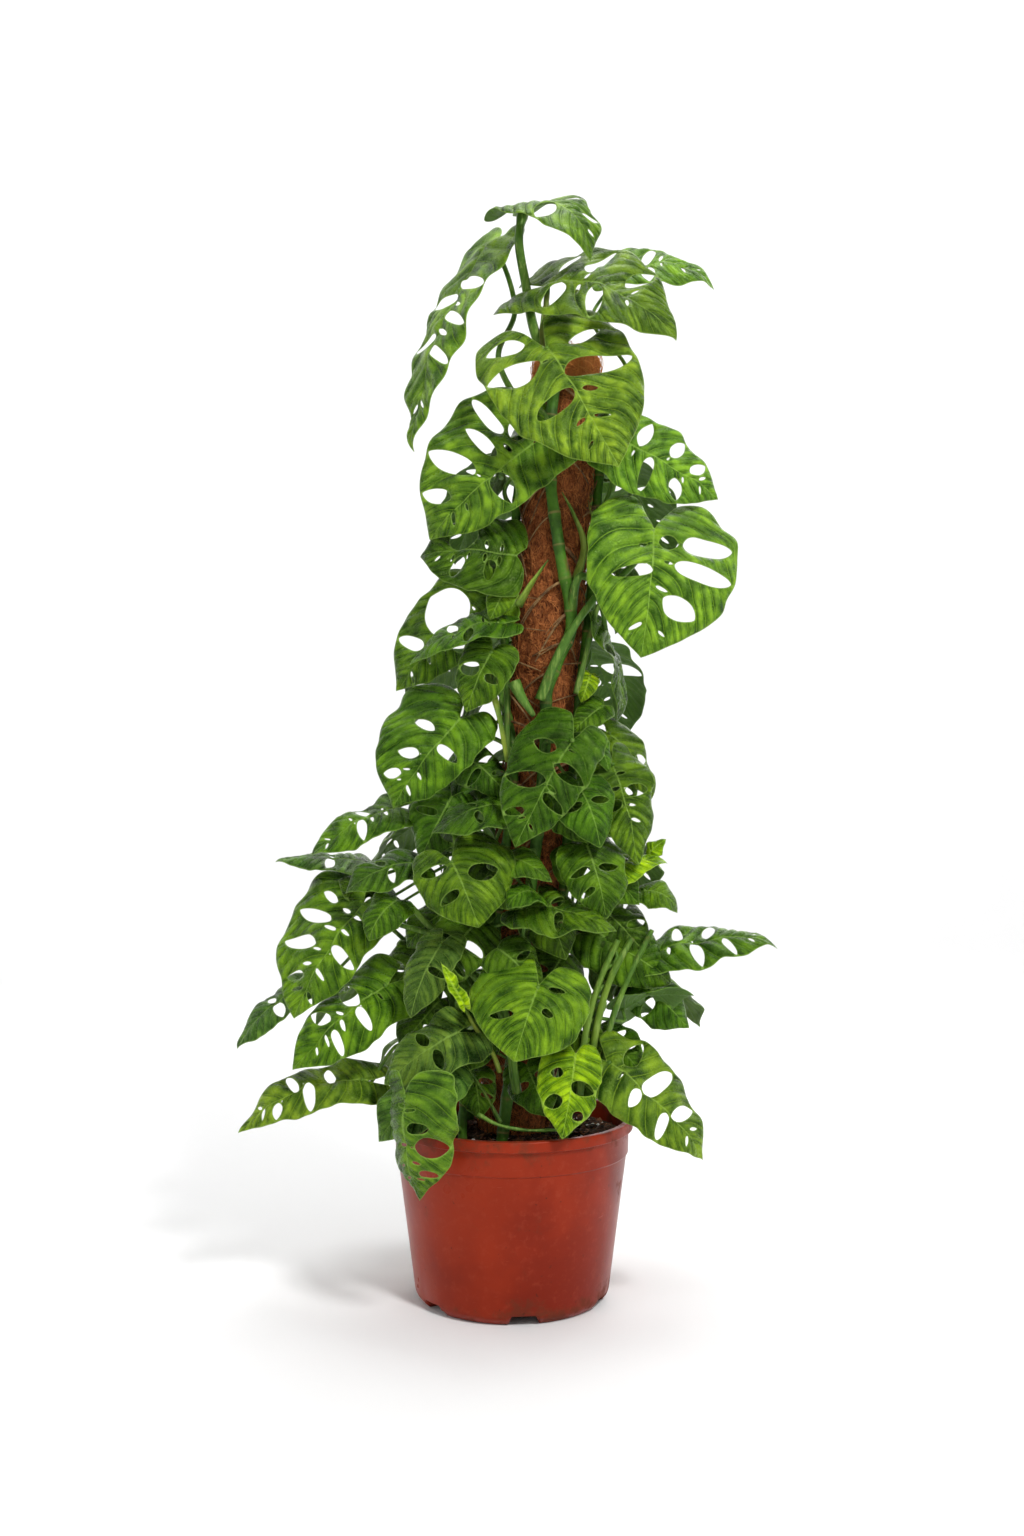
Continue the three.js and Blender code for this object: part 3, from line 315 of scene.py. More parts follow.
# Front leaves: name, stalk's end and tip as seen (column, row, depth), half widths, facing, stem and start
# on it. A hole is across in half widths, along in lengths, long and narrow in lengths.
def frontLeaf(name, base, tip, wide, face, stem, start, via=(), **more):
    return dict(name="leaf_" + name, base=seen(*base), tip=seen(*tip), wide=wide, face=face, stem=stem,
                start=start, via=[seen(*place) for place in via], **more)


frontLeaves = [
    frontLeaf("top", (526, 204, -24), (594, 260, -54), (34, 36), (0.3, -0.72, 0.62), "front", 756, bow=20,
              lobe=0.22, thick=4.8, neck=8, lift=0.06, spread=0,
              via=[(536, 335, -31), (526, 285, -9), (519, 240, -22)], holes=[[0.5, 0.3, 0.3, 0.12],
              [-0.5, 0.4, 0.28, 0.12], [0.5, 0.64, 0.2, 0.1]]),
    frontLeaf("upper_left", (487, 249, 8), (413, 452, 16), (44, 38), (-0.84, -0.54, 0.2), "left", 738,
              bow=16, lobe=0.14, thick=2.8, neck=12, via=[(515, 310, 6)], holes=[[0.45, 0.2, 0.2, 0.06],
              [0.5, 0.38, 0.22, 0.06], [0.45, 0.56, 0.2, 0.06], [-0.5, 0.28, 0.22, 0.07],
              [-0.5, 0.5, 0.2, 0.07]]),
    frontLeaf("upper_right", (548, 283, -34), (676, 341, -56), (40, 58), (0.2, -0.85, 0.48), "back", 738,
              bow=22, lobe=0.28, neck=10, thick=2.2, via=[(550, 325, 14)], holes=[[0.62, 0.02, 0.24, 0.1],
              [0.58, 0.26, 0.3, 0.12], [0.5, 0.58, 0.26, 0.1], [-0.5, 0.12, 0.24, 0.1],
              [-0.5, 0.42, 0.26, 0.1]]),
    frontLeaf("far_right", (616, 268, 26), (717, 286, 30), (30, 30), (0.1, -0.7, 0.7), "right", 735, bow=12,
              thick=1.9, via=[(592, 320, 20)], holes=[[0.5, 0.3, 0.26, 0.1], [-0.5, 0.3, 0.26, 0.1]]),
    frontLeaf("crown", (547, 347, -60), (618, 468, -90), (60, 60), (0.05, -0.95, 0.25), "front", 704, bow=8,
              lobe=0.3, neck=8, via=[(531, 400, -56)], holes=[[-0.5, -0.12, 0.24, 0.08],
              [-0.6, 0.1, 0.34, 0.13], [-0.34, 0.44, 0.28, 0.11], [0.55, 0.02, 0.22, 0.08],
              [0.48, 0.28, 0.42, 0.15]]),
    frontLeaf("left_big", (530, 446, -48), (428, 540, -36), (68, 34), (-0.15, -0.95, 0.2), "left", 654,
              bow=10, lobe=0.3, thick=2.2, holes=[[-0.68, 0.08, 0.34, 0.1], [-0.44, 0.24, 0.3, 0.07],
              [-0.28, 0, 0.16, 0.09], [-0.5, 0.5, 0.4, 0.13], [-0.3, 0.74, 0.2, 0.09],
              [0.42, 0.34, 0.24, 0.12]]),
    frontLeaf("right_upper", (624, 442, -30), (719, 499, -20), (36, 32), (0.1, -0.92, 0.3), "right", 650,
              bow=6, lobe=0.24, holes=[[0.6, 0.46, 0.24, 0.1], [0.34, 0.7, 0.18, 0.09],
              [-0.5, 0.3, 0.3, 0.1], [0.5, 0.14, 0.26, 0.09], [-0.45, 0.6, 0.2, 0.09]]),
    frontLeaf("right_heart", (654, 532, -46), (641, 658, -62), (52, 70), (0.12, -0.97, 0.15), "front", 568,
              bow=10, thick=3.6, lobe=0.3, via=[(606, 586, -26), (640, 556, -26)],
              holes=[[-0.3, 0.36, 0.28, 0.08], [0.18, 0.08, 0.14, 0.08], [0.66, 0.06, 0.36, 0.13],
              [0.62, 0.3, 0.44, 0.14], [0.36, 0.6, 0.26, 0.15]]),
    frontLeaf("left_dark", (512, 556, -44), (419, 556, -28), (37, 37), (-0.15, -0.85, 0.4), "left", 572,
              bow=10, lobe=0.12, holes=[[-0.4, 0.52, 0.34, 0.26], [0.4, 0.55, 0.22, 0.12],
              [0.45, 0.2, 0.22, 0.1]]),
    frontLeaf("diamond", (505, 590, -48), (490, 620, -50), (12, 12), (0, -1, 0.2), "leaf_left_dark", 0.3,
              small=True, neck=6, thick=1.5, bow=2),
    frontLeaf("loop", (486, 608, -22), (394, 691, -6), (50, 26), (-0.25, -0.9, 0.3), "left", 542, bow=8,
              holes=[[-0.42, 0.26, 0.4, 0.3], [-0.42, 0.64, 0.24, 0.11], [0.45, 0.35, 0.2, 0.1]]),
    frontLeaf("band", (497, 622, -48), (410, 665, -34), (20, 22), (-0.15, -0.55, 0.8), "left", 522, bow=10,
              thick=1.8, holes=[[0.45, 0.3, 0.2, 0.09], [-0.45, 0.45, 0.2, 0.09]]),
    frontLeaf("nook", (491, 652, -54), (467, 712, -54), (22, 24), (-0.2, -0.9, 0.3), "left", 494, bow=5,
              thick=1.8, holes=[[-0.46, 0.36, 0.28, 0.22], [0.45, 0.4, 0.22, 0.12]]),
    frontLeaf("light", (458, 722, -48), (392, 808, -54), (57, 30), (-0.25, -0.92, 0.25), "left", 440, bow=8,
              lobe=0.24, thick=2.2, holes=[[-0.3, 0.5, 0.22, 0.08], [-0.28, 0.74, 0.15, 0.08],
              [0.4, 0.3, 0.22, 0.09], [-0.4, 0.2, 0.24, 0.07]]),
    frontLeaf("behind_light", (468, 765, -8), (408, 822, -2), (24, 24), (-0.3, -0.7, 0.6), "left", 404,
              thick=1.8, holes=[[0.45, 0.4, 0.22, 0.1]]),
    frontLeaf("young", (590, 676, -30), (581, 703, -34), (9, 9), (0.1, -0.9, 0.3), "right", 482, small=True,
              neck=5, thick=1.6, bow=3, lime=True),
    frontLeaf("fresh", (602, 706, -30), (572, 733, -42), (14, 13), (0.1, -0.8, 0.5), "leaf_young", 0.3,
              small=True, neck=6, thick=1.4, bow=3),
    frontLeaf("right_small", (610, 733, -22), (652, 799, -24), (20, 20), (0.3, -0.8, 0.5), "right", 440,
              thick=1.6, holes=[[-0.4, 0.32, 0.25, 0.12], [0.42, 0.5, 0.22, 0.1]]),
    frontLeaf("puckered", (613, 764, -52), (638, 865, -60), (26, 26), (0.15, -0.9, 0.4), "right", 404,
              wave=4, holes=[[-0.45, 0.4, 0.2, 0.09], [0.45, 0.3, 0.2, 0.09]]),
    frontLeaf("front", (572, 740, -74), (515, 848, -86), (40, 27), (-0.1, -0.95, 0.25), "front", 446, bow=8,
              thick=2.2, holes=[[-0.42, 0.14, 0.18, 0.09], [-0.44, 0.46, 0.3, 0.12],
              [-0.34, 0.74, 0.14, 0.07], [0.44, 0.28, 0.26, 0.09], [0.42, 0.55, 0.2, 0.08]]),
    frontLeaf("shade", (590, 742, -57), (608, 772, -58), (11, 11), (0.2, -0.8, 0.5), "front", 412,
              thick=1.6, small=True),
    frontLeaf("under_front", (578, 782, -70), (600, 848, -78), (25, 23), (0.1, -0.85, 0.45), "leaf_shade",
              0.4, thick=1.6, holes=[[-0.45, 0.35, 0.24, 0.09], [0.45, 0.35, 0.24, 0.09]]),
    frontLeaf("shelf", (500, 806, -58), (432, 834, -68), (24, 26), (-0.1, -0.5, 0.85), "left", 362,
              thick=1.8, holes=[[0.45, 0.35, 0.24, 0.09], [-0.45, 0.35, 0.24, 0.09]]),
    frontLeaf("ring", (452, 862, -80), (479, 928, -94), (32, 46), (0, -0.88, 0.45), "left", 305, bow=8,
              lobe=0.35, holes=[[0.42, 0.3, 0.38, 0.2], [-0.5, 0.02, 0.34, 0.16], [-0.4, 0.48, 0.28, 0.1]]),
    frontLeaf("pointed", (503, 858, -62), (553, 882, -72), (16, 16), (0.1, -0.7, 0.7), "front", 322,
              small=True, thick=1.5, neck=8),
    frontLeaf("glossy", (534, 892, -80), (505, 910, -90), (14, 15), (-0.1, -0.6, 0.8), "leaf_pointed", 0.3,
              small=True, thick=1.4, neck=7),
    frontLeaf("edge", (527, 906, -70), (616, 932, -88), (26, 22), (0, -0.5, 0.87), "front", 236, lift=0.2,
              holes=[[0.45, 0.3, 0.22, 0.09], [-0.45, 0.4, 0.22, 0.09]]),
    frontLeaf("mid_right", (588, 850, -64), (607, 920, -78), (26, 26), (0.1, -0.9, 0.4), "right", 330,
              thick=1.6, holes=[[0.45, 0.3, 0.26, 0.09], [-0.45, 0.3, 0.26, 0.09], [-0.4, 0.6, 0.2, 0.08]]),
    frontLeaf("wing", (395, 808, -24), (312, 856, -28), (26, 24), (-0.2, -0.6, 0.75), "left", 350,
              via=[(450, 850, -30)], holes=[[-0.5, 0.33, 0.28, 0.1], [0.45, 0.4, 0.24, 0.08]]),
    frontLeaf("low_wing", (360, 862, 6), (276, 863, 2), (22, 22), (0, -0.3, 0.95), "backLeft", 330, bow=6,
              holes=[[0.45, 0.35, 0.24, 0.09], [-0.45, 0.35, 0.24, 0.09]]),
    frontLeaf("left_large", (362, 905, -30), (293, 1019, -46), (59, 30), (-0.3, -0.85, 0.4), "lowLeft", 256,
              bow=10, thick=2.2, holes=[[-0.55, 0.25, 0.31, 0.09], [-0.52, 0.48, 0.29, 0.1],
              [-0.55, 0.06, 0.14, 0.05], [-0.3, 0.72, 0.16, 0.06], [0.45, 0.42, 0.24, 0.08]]),
    frontLeaf("left_tail", (300, 985, -8), (239, 1049, -18), (20, 20), (-0.35, -0.55, 0.75),
              "leaf_left_large", 0.3, thick=1.7, holes=[[0.45, 0.35, 0.24, 0.1], [-0.45, 0.35, 0.24, 0.1]]),
    frontLeaf("fold", (413, 862, -46), (345, 893, -58), (24, 22), (-0.1, -0.6, 0.8), "left", 272, thick=1.8,
              holes=[[0.45, 0.35, 0.22, 0.08], [-0.45, 0.4, 0.22, 0.08]]),
    frontLeaf("round", (394, 902, -60), (368, 942, -68), (18, 18), (-0.2, -0.9, 0.4), "leaf_fold", 0.6,
              small=True, thick=1.4, neck=7),
    frontLeaf("bluish", (440, 945, -72), (411, 1018, -82), (19, 19), (-0.2, -0.85, 0.5), "left", 235,
              thick=1.6, holes=[[0.45, 0.35, 0.24, 0.09]]),
    frontLeaf("rolled", (463, 1003, -92), (440, 962, -94), (5, 5), (0.2, -0.9, 0.2), "lowFront", 240, bow=2,
              fold=-0.9, small=True, neck=3, thick=1.5, lime=True, via=[(484, 1020, -88)]),
    frontLeaf("left_low", (385, 985, -44), (292, 1070, -58), (32, 32), (-0.25, -0.8, 0.5), "lowLeft", 178,
              holes=[[-0.45, 0.28, 0.28, 0.1], [-0.45, 0.56, 0.24, 0.1], [0.45, 0.3, 0.26, 0.09],
              [0.45, 0.58, 0.22, 0.08]]),
    frontLeaf("far_left", (362, 1079, -40), (238, 1133, -46), (22, 22), (-0.1, -0.7, 0.65), "lowLeft", 152,
              bow=10, sweep=-8, via=[(398, 1045, -36)], holes=[[0.42, 0.4, 0.2, 0.09],
              [-0.42, 0.22, 0.16, 0.07], [-0.42, 0.5, 0.2, 0.07], [0.42, 0.66, 0.16, 0.07]]),
    frontLeaf("ragged", (455, 1035, -78), (385, 1085, -80), (26, 26), (-0.1, -0.8, 0.6), "lowFront", 216,
              lobe=0.3, wave=4, thick=1.8, holes=[[0.45, 0.3, 0.24, 0.1], [-0.45, 0.35, 0.24, 0.1]]),
    frontLeaf("over_rim", (440, 1072, -78), (378, 1142, -86), (26, 26), (-0.2, -0.85, 0.45), "lowFront",
              166, wave=3, thick=1.9, holes=[[0.45, 0.3, 0.22, 0.1], [-0.45, 0.25, 0.2, 0.12]]),
    frontLeaf("hanging", (403, 1098, -122), (419, 1202, -110), (24, 34), (-0.55, -0.82, 0.1), "lowFront",
              147, fold=0.55, bow=6, thick=1.9, lift=0.05, spread=0.1,
              via=[(456, 1125, -82), (428, 1112, -112)], holes=[[0.3, 0.28, 0.16, 0.1],
              [0.56, 0.48, 0.32, 0.18], [0.42, 0.72, 0.2, 0.09]]),
    frontLeaf("heart", (538, 987, -94), (514, 1062, -114), (49, 42), (0, -0.85, 0.5), "front", 200,
              lobe=0.42, bow=6, thick=2, holes=[[-0.42, 0.48, 0.28, 0.08], [0.32, 0.31, 0.14, 0.09],
              [0.35, -0.05, 0.2, 0.06]]),
    frontLeaf("lime", (575, 1058, -92), (562, 1139, -106), (26, 22), (0.1, -0.92, 0.35), "lowRight", 206,
              thick=1.9, lime=True, holes=[[-0.5, 0.58, 0.28, 0.16], [0.42, 0.7, 0.16, 0.12],
              [0.42, 0.36, 0.28, 0.15], [-0.48, 0.22, 0.14, 0.1]]),
    frontLeaf("right_front", (610, 1062, -70), (706, 1160, -76), (28, 35), (0.2, -0.8, 0.55), "lowRight",
              152, bow=10, lobe=0.15, thick=2, holes=[[0.56, 0.1, 0.24, 0.1], [0.42, 0.36, 0.28, 0.13],
              [0.34, 0.64, 0.28, 0.11], [-0.42, 0.3, 0.24, 0.1], [-0.42, 0.58, 0.2, 0.09]]),
    frontLeaf("low_shade", (604, 1068, -50), (574, 1106, -56), (15, 15), (0, -0.8, 0.6), "leaf_right_front",
              0.5, small=True, thick=1.5, neck=7),
    frontLeaf("dark_under", (622, 1006, -26), (694, 995, -28), (20, 20), (0.1, 0.6, 0.78), "lowRight", 224,
              bow=5, thick=1.8, holes=[[0.45, 0.4, 0.26, 0.1], [-0.45, 0.4, 0.26, 0.1]]),
    frontLeaf("right_reach", (655, 952, -20), (779, 944, -16), (26, 28), (0.05, -0.45, 0.9), "lowRight",
              260, bow=10, thick=2.2, holes=[[0.5, 0.45, 0.2, 0.09], [-0.5, 0.32, 0.24, 0.08],
              [0.5, 0.2, 0.2, 0.08], [-0.45, 0.58, 0.2, 0.07]]),
    frontLeaf("yellow", (606, 874, -44), (668, 862, -38), (17, 17), (0, -0.5, 0.87), "right", 300,
              thick=1.8, lime=True, holes=[[0.45, 0.35, 0.24, 0.1]]),
    frontLeaf("bud", (650, 852, -34), (666, 839, -34), (7, 7), (0, -0.8, 0.6), "leaf_yellow", 0.5,
              small=True, thick=1.3, neck=5, bow=1, lime=True),
    frontLeaf("fill_left", (468, 900, -34), (404, 948, -30), (26, 26), (-0.2, -0.8, 0.5), "leaf_fold", 0.2,
              thick=1.7, holes=[[0.45, 0.35, 0.26, 0.1]]),
    frontLeaf("fill_low_left", (458, 974, -20), (408, 1018, -10), (24, 24), (-0.2, -0.85, 0.4),
              "leaf_bluish", 0.15, thick=1.7, holes=[[0.45, 0.35, 0.26, 0.1]]),
    frontLeaf("fill_right", (600, 934, -36), (670, 984, -26), (28, 28), (0.15, -0.9, 0.3),
              "leaf_right_reach", 0.3, thick=1.7, holes=[[0.45, 0.35, 0.26, 0.1]]),
    frontLeaf("fill_low_right", (552, 984, -50), (574, 1026, -52), (18, 14), (0.1, -0.85, 0.45),
              "leaf_dark_under", 0.3, thick=1.7, holes=[[0.45, 0.35, 0.26, 0.1]]),
    frontLeaf("fill_centre", (500, 950, -72), (540, 992, -74), (20, 20), (0, -0.85, 0.5), "leaf_heart", 0.5,
              lobe=0.1, thick=1.7, holes=[[0.45, 0.35, 0.26, 0.1]]),
    frontLeaf("right_mid", (645, 890, -36), (678, 913, -38), (14, 14), (0.1, -0.7, 0.7), "leaf_yellow", 0.4,
              small=True, thick=1.5, neck=7),
]


backSprays = [
    dict(name="spray_back_top", stem="back", start=690, leaves=[[82, 64, 742, 128, 656, 46],
         [132, 64, 706, 132, 628, 44], [40, 66, 700, 134, 622, 44]]),
    dict(name="spray_back_high", stem="back", start=520, leaves=[[98, 64, 596, 136, 512, 50],
         [146, 68, 556, 142, 474, 44], [58, 70, 546, 144, 466, 42]]),
    dict(name="spray_back_middle", stem="back", start=390, leaves=[[84, 72, 456, 158, 376, 50],
         [112, 84, 424, 166, 348, 42]]),
    dict(name="spray_back_right", stem="backRight", start=340, leaves=[[48, 78, 396, 166, 322, 44],
         [62, 92, 312, 186, 242, 44], [30, 100, 272, 190, 208, 40]]),
    dict(name="spray_back_left", stem="backLeft", start=372, leaves=[[152, 78, 412, 164, 338, 42],
         [124, 92, 318, 186, 248, 44], [156, 104, 276, 200, 212, 40]]),
    dict(name="spray_back_low", stem="back", start=205, leaves=[[90, 100, 262, 192, 188, 46],
         [126, 112, 210, 194, 142, 42]]),
]


# Leaf surface: the pattern map holds each blade's own flat pattern, in decimetres.
# The first three multiply a leaf's own green, pale and dark partly as painted highlight and painted shade;
# strengths and scales follow, then the shine.
leafLook = dict(
    pale=(2.95, 2.3, 1.8, 1), dark=(0.16, 0.29, 0.26, 1), fleck=(3.0, 2.5, 1.5, 1),
    veinGreen=screenColour(150, 184, 92), underGreen=screenColour(116, 150, 88),
    streakAlong=1.5, streakOut=0.03, streakScale=1.2, blotchScale=5.5, marbleScale=26.0, grainScale=120.0,
    netScale=42.0, fleckStrength=0.12, grooveShadeStrength=0.14, veinStrength=0.5, netStrength=0.08,
    smoothest=0.22, dullest=0.36, underDull=0.25, specular=0.36, shine=(0.62, 0.82, 0.26, 1), relief=0.0009,
)


def makeLeafSurface():
    s = leafLook
    material, tree, shader = newMaterial("leafSurface")
    pattern = addNode(tree, "ShaderNodeUVMap", dict(uv_map="leafPattern")).outputs["UV"]
    tint = readAttribute(tree, "leafTint", "Color")
    under = readAttribute(tree, "underside")
    midrib = readAttribute(tree, "fromMidrib")   # millimetres
    edge = readAttribute(tree, "fromEdge")       # millimetres
    vein = readAttribute(tree, "veinPhase")      # whole numbers lie on side veins

    # streaks that run out along the side veins, with blotches over them; their pale and dark are partly the
    # leaf's own mottling and partly painted highlight and painted shade, the pale rising on the raised
    # quilting between the veins and the dark towards the veins
    flow = addNode(tree, "ShaderNodeCombineXYZ", X=times(tree, vein, s["streakAlong"]),
                   Y=times(tree, midrib, s["streakOut"]))
    shift = addNode(tree, "ShaderNodeVectorMath", dict(operation="ADD"), i0=flow.outputs[0], i1=pattern)
    streak = noiseNode(tree, shift.outputs[0], s["streakScale"], 2.0, 0.42, 0.5)
    blotch = noiseNode(tree, pattern, s["blotchScale"], 3, 0.5, 0.5)
    marble = noiseNode(tree, pattern, s["marbleScale"], 5, 0.65, 1.2)
    grain = noiseNode(tree, pattern, s["grainScale"], 3)
    names = ("pale", "dark", "fleck")
    pale, dark, fleck = (mixColour(tree, 1.0, tint, s[name], "MULTIPLY") for name in names)
    turned = calculate(tree, "FRACT", calculate(tree, "ADD", vein, 0.5))
    fromVein = calculate(tree, "ABSOLUTE", calculate(tree, "SUBTRACT", turned, 0.5))
    stripe = weightedSum(tree, (mapRange(tree, fromVein, 0.03, 0.4), 0.06), (blotch, 0.62), (streak, 0.5))
    body = mixColour(tree, mapRange(tree, stripe, 0.555, 0.79), tint, pale)
    body = mixColour(tree, mapRange(tree, stripe, 0.62, 0.43), body, dark)
    body = overlay(tree, body, fleck, mapRange(tree, marble, 0.62, 0.74), s["fleckStrength"])

    # side veins as thin pale lines with painted shade in the groove beside them, and the fine net between
    # them
    sideVein = mapRange(tree, fromVein, 0.045, 0.012)
    groove = mapRange(tree, fromVein, 0.17, 0.04)
    body = overlay(tree, body, dark, groove, s["grooveShadeStrength"])
    body = overlay(tree, body, pale, sideVein, s["veinStrength"])
    net = addNode(tree, "ShaderNodeTexVoronoi", dict(feature="DISTANCE_TO_EDGE"), Vector=pattern,
                  Scale=s["netScale"])
    netLine = mapRange(tree, net.outputs["Distance"], 0.09, 0.02)
    body = overlay(tree, body, pale, netLine, s["netStrength"])

    # midrib, thin pale margin that is partly a painted highlight along the edge, and the duller underside
    ribColour = mixColour(tree, 0.55, pale, s["veinGreen"])
    body = overlay(tree, body, ribColour, mapRange(tree, midrib, 1.1, 0.4), 0.6)
    body = overlay(tree, body, ribColour, mapRange(tree, edge, 1.0, 0.1), 0.7)
    below = overlay(tree, mixColour(tree, 0.5, tint, s["underGreen"]), ribColour, sideVein, 0.6)
    body = overlay(tree, body, below, under, 0.75)

    gloss = mapRange(tree, marble, 0.3, 0.7, s["smoothest"], s["dullest"], "LINEAR")
    gloss = calculate(tree, "ADD", gloss, times(tree, under, s["underDull"]))
    relief = weightedSum(tree, (netLine, -0.35), (groove, -0.6), (marble, 0.9), (grain, 0.25))
    finishShader(tree, shader, body, relief, 0.9, s["relief"], Roughness=gloss,
                 Specular_IOR_Level=s["specular"], Specular_Tint=s["shine"])
    return material


stalkLook = dict(
    young=screenColour(96, 132, 52), mature=screenColour(62, 98, 34), streak=screenColour(146, 170, 86),
    bruise=screenColour(92, 74, 40), shine=(0.62, 0.85, 0.35, 1),
)


def makeStalkSurface():
    s = stalkLook
    material, tree, shader = newMaterial("stalkSurface")
    tint = readAttribute(tree, "leafTint", "Color")
    streak = noiseNode(tree, objectPlace(tree, (1.0, 1.0, 0.12)), 420.0, 4)
    patch = noiseNode(tree, objectPlace(tree), 45.0, 4)
    body = mixColour(tree, 0.45, tint, s["young"])
    body = mixColour(tree, mapRange(tree, patch, 0.35, 0.65), body, s["mature"])
    body = overlay(tree, body, s["streak"], mapRange(tree, streak, 0.5, 0.68), 0.5)
    body = overlay(tree, body, s["bruise"], mapRange(tree, patch, 0.6, 0.74), 0.55)
    finishShader(tree, shader, body, streak, 0.4, 0.0006, Roughness=0.42, Specular_Tint=s["shine"])
    return material


leafSurface = makeLeafSurface()
stalkSurface = makeStalkSurface()

# Each leaf's green by tone, partly its own colour; the light and deep tones also hold painted light and
# painted shade, light for lit leaves and deep for leaves in shade
tints = {
    "deep": screenColour(48, 82, 14),
    "mid": screenColour(62, 100, 20),
    "light": screenColour(74, 110, 30),
    "bluish": screenColour(62, 96, 38),
    "lime": screenColour(104, 142, 16),
}

# Half the outline of a blade, from the notch at the stalk to the tip:
# across in half widths, along in lengths, where the part behind the stalk is in lobes.
halfOutline = [[0.3, -1.0], [0.74, -0.9], [1.0, -0.1], [1.03, 0.22], [0.93, 0.49], [0.66, 0.73], [0.26, 0.9]]
smallOutline = [[0.42, -1.0], [0.9, -0.4], [1.03, 0.12], [0.88, 0.48], [0.38, 0.84]]

bladeSettings = dict(
    notchBehindStalk=3, thickness=0.7, gridStep=2.25, edgeStep=1.8,
    edgeThins=1.2, thinnest=0.45, holeFill=1.12, holeMargin=1.5, edgeWave=2.0, fullEdgeWave=90, fullLength=80,
    quilt=1.7, quiltPower=1.3, flatByRib=7, flatByEdge=4, buckle=1.5, buckleSize=(11, 13),
    ripple=0.8, rippleSize=(7, 9), frill=1.8, frillSize=5.5, frillReach=10,
    lowerLeaves=480, lowerWave=1.8, lowerFold=0.14, ribDepth=0.9, ribWide=1.3, ribRidge=0.9, ridgeWide=1.5,
    veinSpacing=0.078, veinGap=2.2, veinTurn=0.28, veinArch=0.0045, veinOffset=0.42, veinDrift=0.3,
    driftSize=(14, 19), longEnoughForSlits=75, ribStep=0.9, keepOffEdge=0.45, keepOffRib=0.75, jitter=0.12,
    patternUnit=100,
)
leafDefaults = dict(
    face=[0, -1, 0.2], bow=8, fold=0.12, lobe=0.2, sweep=0, twist=0, wave=2, phase=0, holes=[],
    thick=1.9, lift=0.3, spread=0.15, neck=14, via=[], small=False, lime=False,
)


# The blade's surface: across in half widths, along in lengths, to points in space.
def bladePoints(leaf, across, along):
    side = np.where(across < 0, leaf["wide"][0], leaf["wide"][1])
    u = across * side
    reach = np.abs(across)
    arch = 4 * along * (1 - along)
    turn = np.radians(leaf["twist"] * along)
    droop = leaf["fold"] * np.abs(u) * (0.45 + 0.55 * reach)
    ripple = leaf["wave"] * np.sin(leaf["phase"] + 7.5 * along + np.where(across < 0, 2, 0)) * reach * reach
    lift = ripple - droop
    right = u * np.cos(turn) - lift * np.sin(turn) + leaf["sweep"] * arch
    out = u * np.sin(turn) + lift * np.cos(turn) + leaf["bow"] * arch
    return (leaf["base"] + np.outer(along * leaf["length"], leaf["axis"])
            + np.outer(right, leaf["right"]) + np.outer(out, leaf["out"]))


def bladeNormals(leaf, across, along):
    step = 0.01
    here = across + np.where(across < 0, -step, step)
    over = bladePoints(leaf, here, along) - bladePoints(leaf, across, along)
    over *= np.sign(here - across)[:, None]
    on = bladePoints(leaf, across, along + step) - bladePoints(leaf, across, along - step)
    normal = np.cross(on, over)
    normal /= np.linalg.norm(normal, axis=1)[:, None]
    facing = normal @ leaf["out"] * np.cos(np.radians(leaf["twist"] * along))
    return np.where(facing[:, None] < 0, -normal, normal)


def veinAngle(along):   # degrees from the midrib, towards the tip
    return np.radians(96 - 52 * np.clip(along, 0, 1))


def toSize(leaf, points):   # pattern points in millimetres
    side = np.where(points[:, 0] < 0, leaf["wide"][0], leaf["wide"][1])
    return np.stack([points[:, 0] * side, points[:, 1] * leaf["length"]], axis=1)


def toPattern(leaf, points):
    side = np.where(points[:, 0] < 0, leaf["wide"][0], leaf["wide"][1])
    return np.stack([points[:, 0] / side, points[:, 1] / leaf["length"]], axis=1)


def insideRing(ring, points):
    odd = np.zeros(len(points), bool)
    for (ax, ay), (bx, by) in zip(ring, np.roll(ring, 1, axis=0)):
        if ay == by:
            continue
        crosses = (ay > points[:, 1]) != (by > points[:, 1])
        odd ^= crosses & (points[:, 0] < (bx - ax) * (points[:, 1] - ay) / (by - ay) + ax)
    return odd


def distanceToRing(ring, points):
    edge = np.roll(ring, -1, axis=0) - ring
    offset = points[:, None, :] - ring[None]
    along = np.clip((offset * edge).sum(2) / np.maximum((edge ** 2).sum(1), 1e-9), 0, 1)
    return np.sqrt(((offset - along[..., None] * edge) ** 2).sum(2).min(1))


# The blade's edge in millimetres: smooth through the outline's points, pointed at the tip, slightly uneven.
def bladeEdge(leaf, draw):
    half = smallOutline if leaf["small"] else halfOutline
    half = [(x, y * leaf["lobe"] if y < 0 else y) for x, y in half]
    notch = (0, -bladeSettings["notchBehindStalk"] / leaf["length"])
    sides = []
    for sign in (1, -1):
        points = toSize(leaf, np.array([(sign * x, y) for x, y in [notch, *half, (0, 1)]]))
        sides.append(evenly(smoothCurve(points, 12), bladeSettings["edgeStep"]))
    right, left = sides
    phases = [draw.uniform(0, 6.3) for _ in range(6)]
    for line, shift in ((right, 0), (left, 3)):
        t = np.linspace(0, 1, len(line))
        wave = (np.sin(23 * t + phases[shift]) * 0.5 + np.sin(41 * t + phases[shift + 1]) * 0.3
                + np.sin(67 * t + phases[shift + 2]) * 0.2)
        full = min(1, leaf["length"] / bladeSettings["fullEdgeWave"])
        swell = bladeSettings["edgeWave"] * full * np.sin(math.pi * t) ** 0.7
        line[:, 0] += np.sign(line[:, 0]) * wave * swell
    return np.concatenate([right, left[-2:0:-1]])


